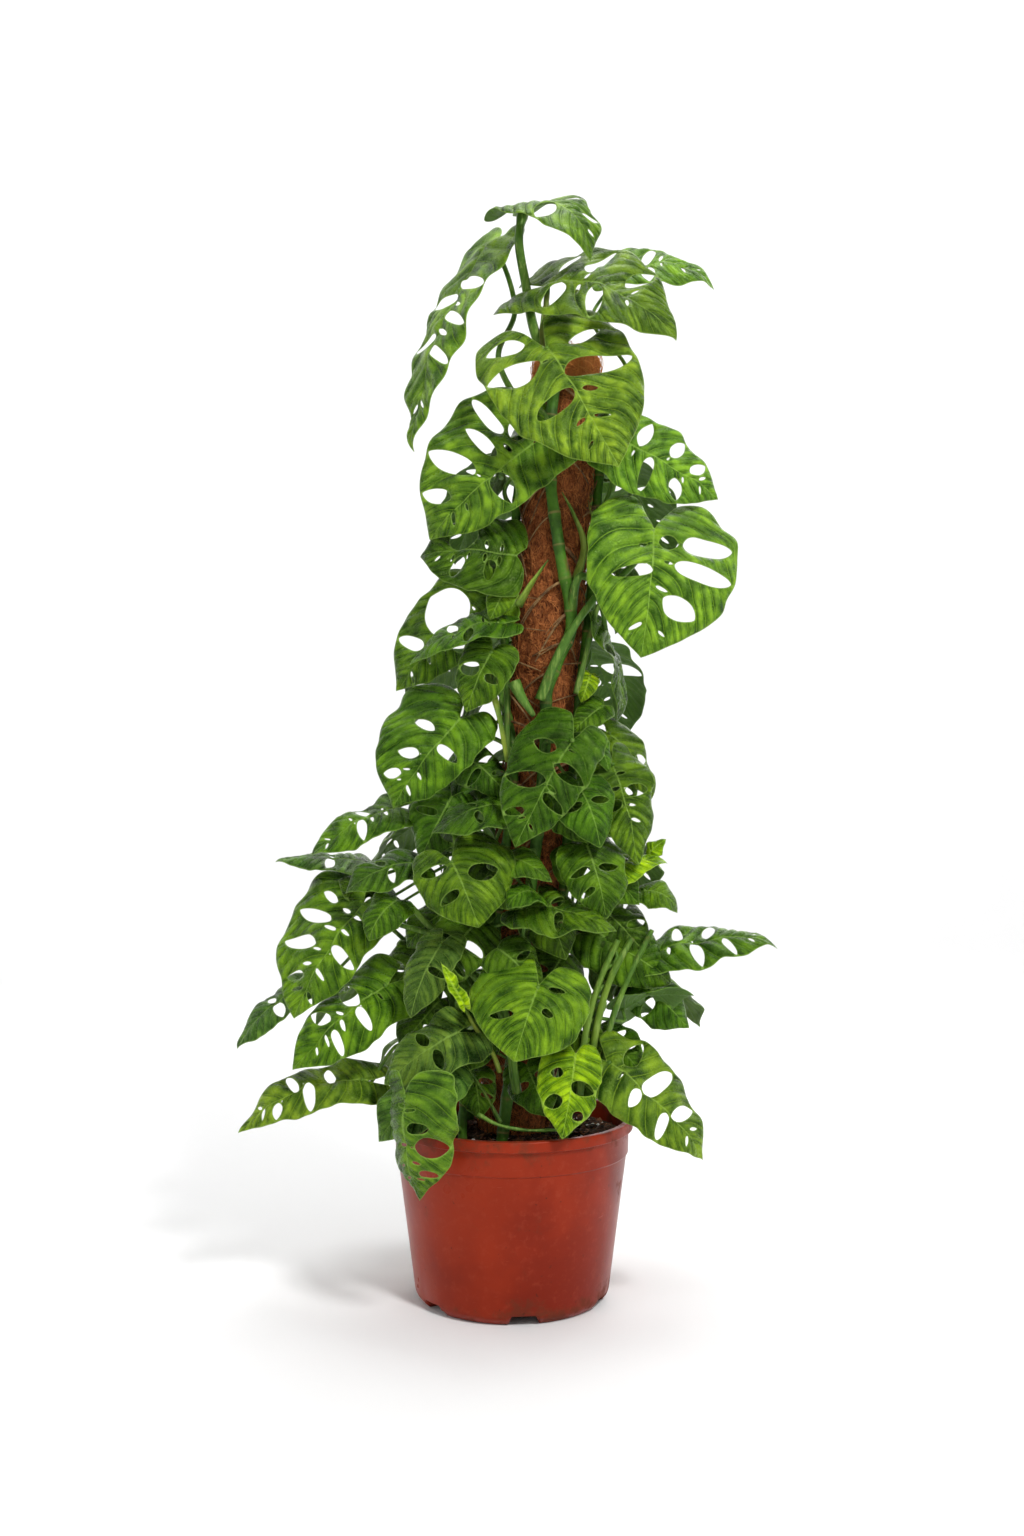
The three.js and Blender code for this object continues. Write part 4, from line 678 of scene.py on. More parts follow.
def holeRing(leaf, hole, draw):
    across, along, long, narrow = hole
    side = -1 if across < 0 else 1
    width = leaf["wide"][0] if across < 0 else leaf["wide"][1]
    angle = float(veinAngle(np.array(along)))
    fill = 0.5 * bladeSettings["holeFill"] * leaf["length"]
    count = max(12, int(4.4 * fill * long / bladeSettings["edgeStep"]))
    turn = np.linspace(0, 2 * math.pi, count, endpoint=False)
    lengthwise = fill * long * np.sign(np.cos(turn)) * np.abs(np.cos(turn)) ** 0.85
    crosswise = (fill * narrow * np.sin(turn) * np.abs(np.sin(turn)) ** 0.3 * (1.05 - 0.22 * np.cos(turn))
                 * (1 + 0.14 * np.sin(2 * turn + draw)))
    u = side * (lengthwise * math.sin(angle) + crosswise * math.cos(angle))
    v = lengthwise * math.cos(angle) - crosswise * math.sin(angle)
    return np.stack([across * width + u, along * leaf["length"] + v], axis=1)


def fittedHole(leaf, hole, edge, earlier, draw):   # shrinks until a strip of blade is left round it
    hole = list(hole)
    shape = draw.uniform(0, 6.3)
    margin = bladeSettings["holeMargin"]
    for _ in range(30):
        ring = holeRing(leaf, hole, shape)
        rings = [edge, *earlier]
        apart = all(distanceToRing(other, ring).min() > margin for other in rings)
        within = any(insideRing(other, ring[:1])[0] for other in earlier)
        if apart and insideRing(edge, ring).all() and not within:
            break
        hole[0] *= 0.98
        hole[2] *= 0.94
        hole[3] *= 0.96
    return ring


def midribHoles(leaf, draw):   # a few small slits between the large holes and the midrib
    if leaf["length"] < bladeSettings["longEnoughForSlits"]:
        return []
    slits = []
    for along in np.arange(0.1, 0.8, 0.17):
        for sign in (-1, 1):
            if draw.random() < 0.6:
                long = draw.uniform(0.05, 0.1)
                across = sign * draw.uniform(0.14, 0.2)
                slits.append([across, along + draw.uniform(-0.03, 0.03), long, 0.3 * long])
    return slits


# A flat sheet cut into triangles inside one of its rings and outside the others, through loose points too.
def cutSheet(rings, outer, loose=()):
    points = [tuple(p) for part in (*rings, loose) for p in part]
    borders = []
    start = 0
    for ring in rings:
        count = len(ring)
        borders += [(start + k, start + (k + 1) % count) for k in range(count)]
        start += count
    cut = delaunay_2d_cdt([Vector(p) for p in points], borders, [], 0, 1e-5, False)
    flat = np.array([tuple(p) for p in cut[0]])
    triangles = np.array(cut[2])
    middle = flat[triangles].mean(axis=1)
    wanted = insideRing(rings[outer], middle)
    for i, ring in enumerate(rings):
        if i != outer:
            wanted &= ~insideRing(ring, middle)
    return flat, triangles[wanted]


# The flat pattern, cut into small triangles: its edge, its holes, a line along the midrib and a grid.
def bladePattern(leaf, draw):
    s = bladeSettings
    step = s["gridStep"]
    jitter = s["jitter"]
    edge = bladeEdge(leaf, draw)
    holes = []
    for hole in leaf["holes"] + midribHoles(leaf, draw):
        holes.append(fittedHole(leaf, hole, edge, holes, draw))
    low, high = edge.min(0), edge.max(0)
    rows = []
    for j, v in enumerate(np.arange(low[1], high[1], step * 0.87)):
        shift = 0.5 * step * (j % 2)
        for u in np.arange(low[0] + shift, high[0], step):
            rows.append((u + draw.uniform(-jitter, jitter) * step, v + draw.uniform(-jitter, jitter) * step))
    grid = np.array(rows)
    grid = grid[np.abs(grid[:, 0]) > s["keepOffRib"] * step]
    columns = (-s["ribStep"], 0.0, s["ribStep"])
    ribs = [(u, v) for v in np.arange(0.5, leaf["length"] - 2, step) for u in columns]
    loose = np.concatenate([grid, np.array(ribs)])
    keepAway = s["keepOffEdge"] * step
    loose = loose[insideRing(edge, loose)]
    loose = loose[distanceToRing(edge, loose) > keepAway]
    for ring in holes:
        loose = loose[~insideRing(ring, loose)]
        loose = loose[distanceToRing(ring, loose) > keepAway]
    flat, triangles = cutSheet([edge, *holes], 0, loose)
    used = np.unique(triangles)
    number = np.full(len(flat), -1)
    number[used] = np.arange(len(used))
    return flat[used], number[triangles], [edge, *holes]


# The blade laid on its curved surface twice, with quilting, ribs and a wall round every edge.
def bladeMesh(leaf, draw):
    flat, triangles, rings = bladePattern(leaf, draw)
    s = bladeSettings
    u, v = flat[:, 0], flat[:, 1]
    across, along = toPattern(leaf, flat).T
    fromEdge = np.min([distanceToRing(ring, flat) for ring in rings], axis=0)
    fromRib = np.abs(u)
    bend = fromRib / np.tan(veinAngle(along) - s["veinTurn"]) + s["veinArch"] * fromRib ** 2
    spacing = s["veinSpacing"] * leaf["length"] + s["veinGap"]
    phase = (v - bend) / spacing + np.where(u < 0, s["veinOffset"], 0.0) + leaf["veinStart"]
    size = min(1.0, leaf["length"] / s["fullLength"])
    wide, long = s["driftSize"]
    phase = phase + s["veinDrift"] * np.sin(v / long + u / wide + draw.uniform(0, 6.3))
    calm = np.clip(fromRib / s["flatByRib"], 0, 1) * np.clip(fromEdge / s["flatByEdge"], 0, 1)
    quilt = s["quilt"] * size * calm * np.abs(np.sin(math.pi * phase)) ** s["quiltPower"]
    a, b, c = (draw.uniform(0, 6.3) for _ in range(3))
    wide, long = s["buckleSize"]
    buckle = np.sin(v / long + a) * np.sin(u / wide + b) * s["buckle"]
    wide, long = s["rippleSize"]
    wavy = (buckle + np.sin(u / wide + v / long + c) * s["ripple"]) * size
    nearEdge = np.clip(1 - fromEdge / s["frillReach"], 0, 1)
    frill = np.sin(v / s["frillSize"] + a * 2) * nearEdge * s["frill"] * size
    channel = s["ribDepth"] * size * np.exp(-(fromRib / s["ribWide"]) ** 2)
    ridge = s["ribRidge"] * size * np.exp(-(fromRib / s["ridgeWide"]) ** 2) * np.clip(1.15 - along, 0.1, 1)
    normal = bladeNormals(leaf, across, along)
    middle = bladePoints(leaf, across, along) + normal * (quilt + wavy + frill - channel)[:, None]
    half = 0.5 * s["thickness"] * np.clip(fromEdge / s["edgeThins"], s["thinnest"], 1)
    vertices = np.concatenate([middle + normal * half[:, None], middle - normal * (half + ridge)[:, None]])
    # a wall of two triangles on every open edge
    count = len(flat)
    edges = {(face[i - 1], face[i]) for face in triangles.tolist() for i in (1, 2, 0)}
    walls = []
    for face in triangles.tolist():
        for p, q in ((face[0], face[1]), (face[1], face[2]), (face[2], face[0])):
            if (q, p) not in edges:
                walls += [(q, p, count + p), (q, count + p, count + q)]
    faces = np.concatenate([triangles, triangles[:, ::-1] + count, np.array(walls)])
    corner = vertices[faces]
    if np.einsum("ij,ij->i", corner[:, 0], np.cross(corner[:, 1], corner[:, 2])).sum() < 0:
        faces = faces[:, ::-1]
    pattern = flat / s["patternUnit"] + np.array([leaf["patternShift"], 0])
    return dict(
        vertices=vertices, faces=faces.tolist(), material=np.zeros(len(faces), int),
        pattern=np.tile(pattern, (2, 1)),
        fromMidrib=np.tile(fromRib / np.clip(1.15 - along, 0.35, 1), 2), fromEdge=np.tile(fromEdge, 2),
        veinPhase=np.tile(phase, 2), underside=np.repeat([0.0, 1.0], count),
    )


def stemPoints(stem):
    clear = pole["radius"] + stemOffPole + stem["radius"]
    return [aroundPole(degrees, clear + out, z) for z, degrees, out in stem["path"]]


def stemPointAt(stem, z):
    line = smoothCurve(stemPoints(stem), 40)
    return line[np.argmin(np.abs(line[:, 2] - z))]


stalkLines = {}
stalkSettings = dict(
    sides=9, step=3.0, foot=0.95, taper=0.2, sheath=0.32, sheathLong=0.12,
    joint=0.3, jointAt=0.94, jointLong=0.035,
)


# The stalk leaves its stem upwards, thins, swells again at the joint and meets the blade from behind.
def stalkPath(leaf):
    s = stalkSettings
    if leaf["stem"] in stems:
        start = stemPointAt(stems[leaf["stem"]], leaf["start"])
    else:
        parent = evenly(stalkLines[leaf["stem"]], count=201)
        start = parent[int(round(200 * leaf["start"]))]
    end = leaf["base"]
    apart = np.linalg.norm(start - end)
    outward = unit(np.array([start[0] - poleX(start[2]), start[1], 0]))
    points = [start, start + np.array([0, 0, leaf["lift"] * apart]) + outward * leaf["spread"] * apart]
    points += list(leaf["via"])
    points += [end - leaf["out"] * leaf["neck"] * share for share in (1, 0.4)]
    points.append(end - leaf["out"] * 0.15)
    line = smoothCurve(points, 20)
    stalkLines[leaf["name"]] = line
    line = evenly(line, s["step"])
    t = np.linspace(0, 1, len(line))
    sheath = s["sheath"] * np.exp(-(t / s["sheathLong"]) ** 2)
    joint = s["joint"] * np.exp(-((t - s["jointAt"]) / s["jointLong"]) ** 2)
    radii = leaf["thick"] * (s["foot"] - s["taper"] * t + sheath + joint)
    return line, radii


def meshPlaces(mesh):   # in millimetres
    place = np.empty(len(mesh.vertices) * 3)
    mesh.vertices.foreach_get("co", place)
    return place.reshape(-1, 3) / mm


def stalkPart(paths, tint, flatness=1.0):
    mesh = sweepPaths(paths, stalkSettings["sides"], stalkSurface, flatness)
    vertices = meshPlaces(mesh)
    faces = [tuple(face.vertices) for face in mesh.polygons]
    bpy.data.meshes.remove(mesh)
    count = len(vertices)
    zero = np.zeros(count)
    return dict(vertices=vertices, faces=faces, material=np.ones(len(faces), int),
                pattern=np.zeros((count, 2)), fromMidrib=zero + 9, fromEdge=zero + 9, veinPhase=zero + 0.5,
                underside=zero, tint=np.tile(tint, (count, 1)))


def joinParts(name, parts):   # one mesh from several parts, with their attributes
    faces = []
    start = 0
    for part in parts:
        faces += [tuple(start + v for v in face) for face in part["faces"]]
        start += len(part["vertices"])

    def joined(key):
        return np.concatenate([part[key] for part in parts])

    mesh = bpy.data.meshes.new(name)
    mesh.from_pydata((joined("vertices") * mm).tolist(), [], faces)
    mesh.polygons.foreach_set("use_smooth", [True] * len(faces))
    mesh.polygons.foreach_set("material_index", joined("material"))
    for key in ("fromMidrib", "fromEdge", "veinPhase", "underside"):
        mesh.attributes.new(key, "FLOAT", "POINT").data.foreach_set("value", joined(key))
    mesh.attributes.new("leafTint", "FLOAT_COLOR", "POINT").data.foreach_set("color", joined("tint").ravel())
    corners = np.empty(len(mesh.loops), int)
    mesh.loops.foreach_get("vertex_index", corners)
    mesh.uv_layers.new(name="leafPattern").data.foreach_set("uv", joined("pattern")[corners].ravel())
    mesh.materials.append(leafSurface)
    mesh.materials.append(stalkSurface)
    return pieceFrom(mesh, name)


# Pot: a turned shell of red-brown plastic with a lip, a band step, foot notches and drain holes
potSettings = dict(
    sides=192, height=149, notches=6, notchWidth=24, notchHeight=8.5, notchEase=1.6,
    firstNotch=-83, ringInside=62.5,
    footRadius=80, flare=15.8, bandFoot=120, drainRadius=4.5, drainRing=40, drains=6, plateIn=30, plateOut=52,
    wall=2.2, under=4, floor=6.5, swell=0.25, specular=0.2, shine=(1.0, 0.6, 0.5, 1),
    red=screenColour(147, 45, 21), deepRed=screenColour(121, 33, 17), worn=screenColour(206, 104, 78),
    scratched=screenColour(214, 122, 98), dust=screenColour(92, 52, 34), speck=screenColour(58, 32, 22),
)


def wallRadius(z):
    return potSettings["footRadius"] + potSettings["flare"] * z / potSettings["bandFoot"]


def roundedCorner(before, corner, after, size, steps=4):   # a corner eased into a short arc
    a = np.array(corner) + unit(np.array(before) - corner) * size
    b = np.array(corner) + unit(np.array(after) - corner) * size
    c = np.array(corner)
    return [tuple((1 - t) ** 2 * a + 2 * t * (1 - t) * c + t * t * b) for t in np.linspace(0, 1, steps + 1)]


def easedProfile(rows):   # each row is a radius, a height and how far its corner is eased
    line = [rows[0][:2]]
    for before, row, after in zip(rows, rows[1:], rows[2:]):
        line += roundedCorner(before[:2], row[:2], after[:2], row[2]) if row[2] else [row[:2]]
    line.append(rows[-1][:2])
    return [p for i, p in enumerate(line) if i == 0 or math.dist(p, line[i - 1]) > 1e-6]


def makePotSurface():
    s = potSettings
    material, tree, shader = newMaterial("potSurface")
    place = objectPlace(tree)
    height = addNode(tree, "ShaderNodeSeparateXYZ", Vector=place).outputs["Z"]
    cloud = noiseNode(tree, place, 9.0, 4)
    fine = noiseNode(tree, place, 160.0, 4, 0.65)
    body = mixColour(tree, mapRange(tree, cloud, 0.35, 0.65), s["red"], s["deepRed"])
    body = overlay(tree, body, s["worn"], mapRange(tree, fine, 0.5, 0.75), 0.1)
    # thin scratches, stretched round the pot
    scratch = noiseNode(tree, objectPlace(tree, (1.0, 1.0, 9.0), (0.25, 0.15, 0.0)), 55.0, 5, 0.7)
    scuffed = mapRange(tree, scratch, 0.66, 0.72)
    body = overlay(tree, body, s["scratched"], scuffed, 0.16)
    # soil dust under the rim and at the foot, the part at the foot also painted shade that darkens the
    # notches, and a few dark specks
    dust = noiseNode(tree, place, 38.0, 6, 0.7)
    low = mapRange(tree, height, 0.035, 0.0)
    reach = calculate(tree, "MAXIMUM", low, mapRange(tree, height, 0.118, 0.15))
    dustAndFootShade = mapRange(tree, calculate(tree, "ADD", dust, times(tree, reach, 0.14)), 0.6, 0.74)
    body = overlay(tree, body, s["dust"], dustAndFootShade, 0.6)
    body = overlay(tree, body, s["speck"], mapRange(tree, noiseNode(tree, place, 240.0, 2), 0.71, 0.76), 0.7)
    gloss = mapRange(tree, cloud, 0.3, 0.7, 0.26, 0.36, "LINEAR")
    gloss = calculate(tree, "ADD", gloss, times(tree, dustAndFootShade, 0.3))
    relief = calculate(tree, "ADD", fine, times(tree, scuffed, -0.8))
    finishShader(tree, shader, body, relief, 0.25, 0.0004, Roughness=gloss,
                 Specular_IOR_Level=s["specular"], Specular_Tint=s["shine"])
    return material


def turnedShell(profile, sides):   # rings of a turned shape; the ends on the axis are single points
    vertices = []
    rings = []
    for radius, z in profile:
        if radius == 0:
            rings.append([len(vertices)] * sides)
            vertices.append((0.0, 0.0, z))
            continue
        rings.append(list(range(len(vertices), len(vertices) + sides)))
        for k in range(sides):
            turn = 2 * math.pi * k / sides
            vertices.append((radius * math.cos(turn), radius * math.sin(turn), z))
    faces = []
    for low, high in zip(rings, rings[1:]):
        for k in range(sides):
            n = (k + 1) % sides
            corners = [low[k], low[n], high[n], high[k]]
            face = [v for i, v in enumerate(corners) if v != corners[i - 1]]
            faces.append(tuple(face))
    return vertices, faces


# The floor's ring with its drain holes: the same flat cut below and above, joined down the holes.
def drainedFloor():
    s = potSettings
    sides = s["sides"]
    turns = 2 * math.pi * np.arange(sides) / sides
    rings = [np.stack([r * np.cos(turns), r * np.sin(turns)], axis=1) for r in (s["plateIn"], s["plateOut"])]
    holes = []
    for i in range(s["drains"]):
        centre = math.radians(s["firstNotch"] + 360 * (i + 0.5) / s["drains"])
        bore = 2 * math.pi * np.arange(28) / 28
        middle = np.array([math.cos(centre), math.sin(centre)]) * s["drainRing"]
        holes.append(middle + s["drainRadius"] * np.stack([np.cos(bore), np.sin(bore)], axis=1))
    flat, triangles = cutSheet([*rings, *holes], 1)
    triangles = triangles.tolist()
    count = len(flat)
    vertices = [(x, y, z) for z in (s["under"], s["floor"]) for x, y in flat]
    faces = [tuple(reversed(t)) for t in triangles] + [tuple(count + v for v in t) for t in triangles]
    edges = {(a, b) for t in triangles for a, b in zip(t, t[1:] + t[:1])}
    inner = s["plateIn"] + 1, s["plateOut"] - 1
    for a, b in edges:
        if (b, a) not in edges and inner[0] < math.hypot(*flat[a]) < inner[1]:
            faces.append((a, b, count + b, count + a))
    return vertices, faces


def makePot():
    s = potSettings
    wall = s["wall"]
    middle = [(0, 0), (14, 0), (16, 4), (s["plateIn"], s["under"])]
    # from the plate out over the standing ring, up the wall, over the lip and down inside
    outer = easedProfile([
        (s["plateOut"], s["under"], 0), (62, 4, 0.4), (64, 0, 0.8), (wallRadius(0) - 5, 0, 2.2),
        (wallRadius(6), 6, 3.2), (wallRadius(60), 60, 0), (wallRadius(120), 120, 0.35), (97.2, 121.2, 0.5),
        (97.6, 139.5, 0.4), (101.2, 140.5, 0.8), (100.8, s["height"], 1.6), (94.8, s["height"], 1.4),
        (94.4, 138, 2), (wallRadius(118) - wall, 118, 1), (wallRadius(6.5) - wall, s["floor"], 1.2),
        (s["plateOut"], s["floor"], 0)])
    vertices, faces = turnedShell(middle, s["sides"])
    for moreVertices, moreFaces in (turnedShell(outer, s["sides"]), drainedFloor(),
                                    turnedShell([(s["plateIn"], s["floor"]), (0, s["floor"])], s["sides"])):
        start = len(vertices)
        vertices += moreVertices
        faces += [tuple(start + v for v in face) for face in moreFaces]
    apart = 360 / s["notches"]
    shaped = []
    for x, y, z in vertices:
        radius = math.hypot(x, y)
        turn = math.atan2(y, x)
        if radius > s["ringInside"] and z < s["notchHeight"]:
            bearing = math.degrees(turn) - s["firstNotch"]
            away = math.radians(abs((bearing + apart / 2) % apart - apart / 2)) * radius
            inside = (0.5 * s["notchWidth"] - away) / s["notchEase"]
            z = max(z, s["notchHeight"] * min(1, max(0, inside)))
        if radius > 60:   # the wall is a little out of round towards the lip
            scale = 1 + s["swell"] * math.sin(turn * 2 + 0.6) * (z / s["height"]) ** 2 / radius
            x, y = x * scale, y * scale
        shaped.append((x, y, z))
    piece = meshFrom("nurseryPot", np.array(shaped) * mm, faces, makePotSurface())
    work = bmesh.new()
    work.from_mesh(piece.data)
    bmesh.ops.remove_doubles(work, verts=work.verts, dist=1e-6)
    bmesh.ops.recalc_face_normals(work, faces=work.faces)
    work.to_mesh(piece.data)
    work.free()
    keep(piece, "pot_plastic", "pot")


makePot()
print("pot ready")


# Soil: a lumpy filling with crumbs, bark chips and white perlite scattered over its top
soilSettings = dict(
    sides=96, rings=34, edgeHeight=131, fromWall=2.95, foot=6.85, clearOfWall=8, lowest=130, seed=5,
    waves=14, lump=0.544, lumpsAbove=132.5, calmEdge=8,
    peat=screenColour(26, 16, 11), dryPeat=screenColour(78, 54, 38), redPeat=screenColour(44, 26, 16),
)
soilKinds = [
    dict(name="crumb", count=2600, dark=(24, 15, 10), light=(86, 60, 42), scale=260.0,
         roughness=0.93, Seed=11, Smallest=0.0009, Largest=0.003, Length=1.2, Flatness=0.75, Fineness=1),
    dict(name="perlite", count=150, dark=(196, 192, 182), light=(238, 236, 230), scale=420.0,
         roughness=0.8, Seed=23, Smallest=0.0009, Largest=0.0023, Length=1.1, Flatness=0.85, Fineness=2),
    dict(name="bark", count=420, dark=(52, 30, 18), light=(128, 84, 52), scale=180.0,
         roughness=0.85, Seed=37, Smallest=0.0014, Largest=0.0036, Length=2.3, Flatness=0.4, Fineness=1),
]


def makeSoilSurface():
    s = soilSettings
    material, tree, shader = newMaterial("soilSurface")
    place = objectPlace(tree)
    crumb = noiseNode(tree, place, 190.0, 6, 0.7)
    patch = noiseNode(tree, place, 28.0, 3)
    body = mixColour(tree, mapRange(tree, crumb, 0.35, 0.68), s["peat"], s["dryPeat"])
    body = overlay(tree, body, s["redPeat"], mapRange(tree, patch, 0.4, 0.7), 0.5)
    finishShader(tree, shader, body, crumb, 0.9, 0.0015, Roughness=0.92, Specular_IOR_Level=0.2)
    return material


def makeGrainSurface(name, dark, light, scale, roughness):
    material, tree, shader = newMaterial(name)
    grain = noiseNode(tree, objectPlace(tree), scale, 5, 0.65)
    body = mixColour(tree, mapRange(tree, grain, 0.36, 0.64), screenColour(*dark), screenColour(*light))
    finishShader(tree, shader, body, grain, 0.8, 0.0008, Roughness=roughness, Specular_IOR_Level=0.25)
    return material


# Lumps of one kind scattered over the mesh's upward faces and pressed a little into it.
def makeScatterTree():
    tree, given = newTree("scatterLumps", [
        ("Density", "NodeSocketFloat", 1.0), ("Seed", "NodeSocketInt", 0),
        ("Smallest", "NodeSocketFloat", 0.001), ("Largest", "NodeSocketFloat", 0.003),
        ("Length", "NodeSocketFloat", 1.0), ("Flatness", "NodeSocketFloat", 1.0),
        ("Fineness", "NodeSocketInt", 1), ("Surface", "NodeSocketMaterial", None)])
    normal = tree.nodes.new("GeometryNodeInputNormal").outputs[0]
    up = addNode(tree, "ShaderNodeSeparateXYZ", Vector=normal).outputs["Z"]
    isGreater = dict(data_type="FLOAT", operation="GREATER_THAN")
    upward = addNode(tree, "FunctionNodeCompare", isGreater, i0=up, i1=0.5)
    spread = addNode(tree, "GeometryNodeDistributePointsOnFaces", Mesh=given["Geometry"],
                     Selection=upward.outputs[0], Density=given["Density"], Seed=given["Seed"])
    ball = addNode(tree, "GeometryNodeMeshIcoSphere", Radius=1.0, Subdivisions=given["Fineness"])
    jitter = addNode(tree, "ShaderNodeTexNoise", Scale=1.3, Detail=2.0).outputs["Color"]
    offset = addNode(tree, "ShaderNodeVectorMath", dict(operation="SUBTRACT"), i0=jitter, i1=(0.5, 0.5, 0.5))
    larger = addNode(tree, "ShaderNodeVectorMath", dict(operation="SCALE"), i0=offset.outputs[0], Scale=1.5)
    lump = addNode(tree, "GeometryNodeSetPosition", Geometry=ball.outputs["Mesh"], Offset=larger.outputs[0])
    turn = addNode(tree, "FunctionNodeRandomValue", dict(data_type="FLOAT_VECTOR"), Min=(-0.5, -0.5, 0.0),
                   Max=(0.5, 0.5, 6.28))
    size = addNode(tree, "FunctionNodeRandomValue", dict(data_type="FLOAT"), i2=given["Smallest"],
                   i3=given["Largest"])
    shape = addNode(tree, "ShaderNodeCombineXYZ", X=given["Length"], Y=1.0, Z=given["Flatness"])
    sized = addNode(tree, "ShaderNodeVectorMath", dict(operation="SCALE"), i0=shape.outputs[0],
                    Scale=size.outputs[1])
    place = addNode(tree, "GeometryNodeInstanceOnPoints", Points=spread.outputs["Points"],
                    Instance=lump.outputs["Geometry"], Rotation=turn.outputs[0], Scale=sized.outputs[0])
    return finishTree(tree, place.outputs["Instances"], given["Surface"])


def keepFaces(mesh, wanted):   # leaves only the faces whose middle is wanted
    work = bmesh.new()
    work.from_mesh(mesh)
    dropped = [face for face in work.faces if not wanted(face.calc_center_median())]
    bmesh.ops.delete(work, geom=dropped, context="FACES")
    work.to_mesh(mesh)
    work.free()


def joinedPiece(name, meshes, materials):   # plain meshes become one object, each with its own material
    work = bmesh.new()
    for index, mesh in enumerate(meshes):
        first = len(work.faces)
        work.from_mesh(mesh)
        work.faces.ensure_lookup_table()
        for face in work.faces[first:]:
            face.material_index = index
    joined = bpy.data.meshes.new(name)
    work.to_mesh(joined)
    work.free()
    for material in materials:
        joined.materials.append(material)
    for mesh in meshes:
        bpy.data.meshes.remove(mesh)
    return pieceFrom(joined, name)


def makeSoil():
    s = soilSettings
    edge = wallRadius(s["edgeHeight"] + 1) - s["fromWall"]
    side = [(0.0, s["foot"]), (wallRadius(s["foot"]) - s["fromWall"], s["foot"]),
            (wallRadius(118) - s["fromWall"], 118), (edge, s["edgeHeight"])]
    inwards = np.linspace(0.012, 1, s["rings"])
    top = [(edge * (1 - t), soil["top"] + soil["crown"] * min(1, 2.4 * t)) for t in inwards]
    top[-1] = (0.0, top[-1][1])
    vertices, faces = turnedShell(side + top, s["sides"])
    draw = random.Random(s["seed"])
    waves = [(draw.uniform(0.04, 0.3), draw.uniform(0, 6.3), draw.uniform(0, 6.3)) for _ in range(s["waves"])]
    ground = []
    for x, y, z in vertices:
        if z > s["lumpsAbove"]:
            lift = 0
            for k, (pace, angle, phase) in enumerate(waves):
                lift += math.sin(pace * (x * math.cos(angle) + y * math.sin(angle)) + phase) * (1 - k * 0.03)
            calm = min(1, (edge - math.hypot(x, y)) / s["calmEdge"])
            z += s["lump"] * lift * calm
        ground.append((x * mm, y * mm, z * mm))
    surfaces = [makeSoilSurface()]
    base = meshFrom("soilBed", ground, faces, surfaces[0])
    meshes = [base.data.copy()]
    # lumps only where they stay clear of the pot's wall and lie on top
    spread = (edge - s["clearOfWall"]) * mm
    keepFaces(base.data, lambda middle: middle.z >= s["lowest"] * mm and middle.xy.length <= spread)
    tree = makeScatterTree()
    for kind in soilKinds:
        surface = makeGrainSurface(kind["name"] + "Surface", kind["dark"], kind["light"], kind["scale"],
                                   kind["roughness"])
        density = kind["count"] / (math.pi * spread ** 2)
        surfaces.append(surface)
        meshes.append(applyTree(base, tree, {**kind, "Density": density, "Surface": surface}))
    bpy.data.objects.remove(base)
    keep(joinedPiece("pottingSoil", meshes, surfaces), "soil", "soil")


makeSoil()
print("soil ready")


# Coir pole: a matted core with thousands of short bent fibres standing a little off it
poleSettings = dict(
    sides=64, step=6.0, inset=0.5, uneven=1.1, waves=12, shoulder=16, shoulderSteps=9, shoulderIn=0.86,
    seed=3, fibres=6600, bareBelowTop=4,
    fibre=dict(Seed=7, Length=0.015, Lift=0.0026, Thickness=0.0002), paleTopHeights=(0.74, 0.785),
    husk=screenColour(84, 42, 18), straw=screenColour(178, 106, 56), damp=screenColour(74, 36, 18),
    paleTop=screenColour(214, 128, 62), darkFibre=screenColour(104, 50, 22),
    paleFibre=screenColour(206, 132, 76), paleTopFibre=screenColour(236, 160, 88),
)


def makeCoirSurface():
    s = poleSettings
    material, tree, shader = newMaterial("coirSurface")
    place = objectPlace(tree)
    height = addNode(tree, "ShaderNodeSeparateXYZ", Vector=place).outputs["Z"]
    thread = noiseNode(tree, objectPlace(tree, (1.0, 1.0, 0.35)), 320.0, 6, 0.7, 1.5)
    clump = noiseNode(tree, place, 34.0, 4)
    body = mixColour(tree, mapRange(tree, thread, 0.36, 0.64), s["husk"], s["straw"])
    body = overlay(tree, body, s["damp"], mapRange(tree, clump, 0.5, 0.3), 0.6)
    # lighter towards the top of the pole
    body = overlay(tree, body, s["paleTop"], mapRange(tree, height, *s["paleTopHeights"]), 0.75)
    finishShader(tree, shader, body, thread, 0.9, 0.002, Roughness=0.9, Specular_IOR_Level=0.2)
    return material


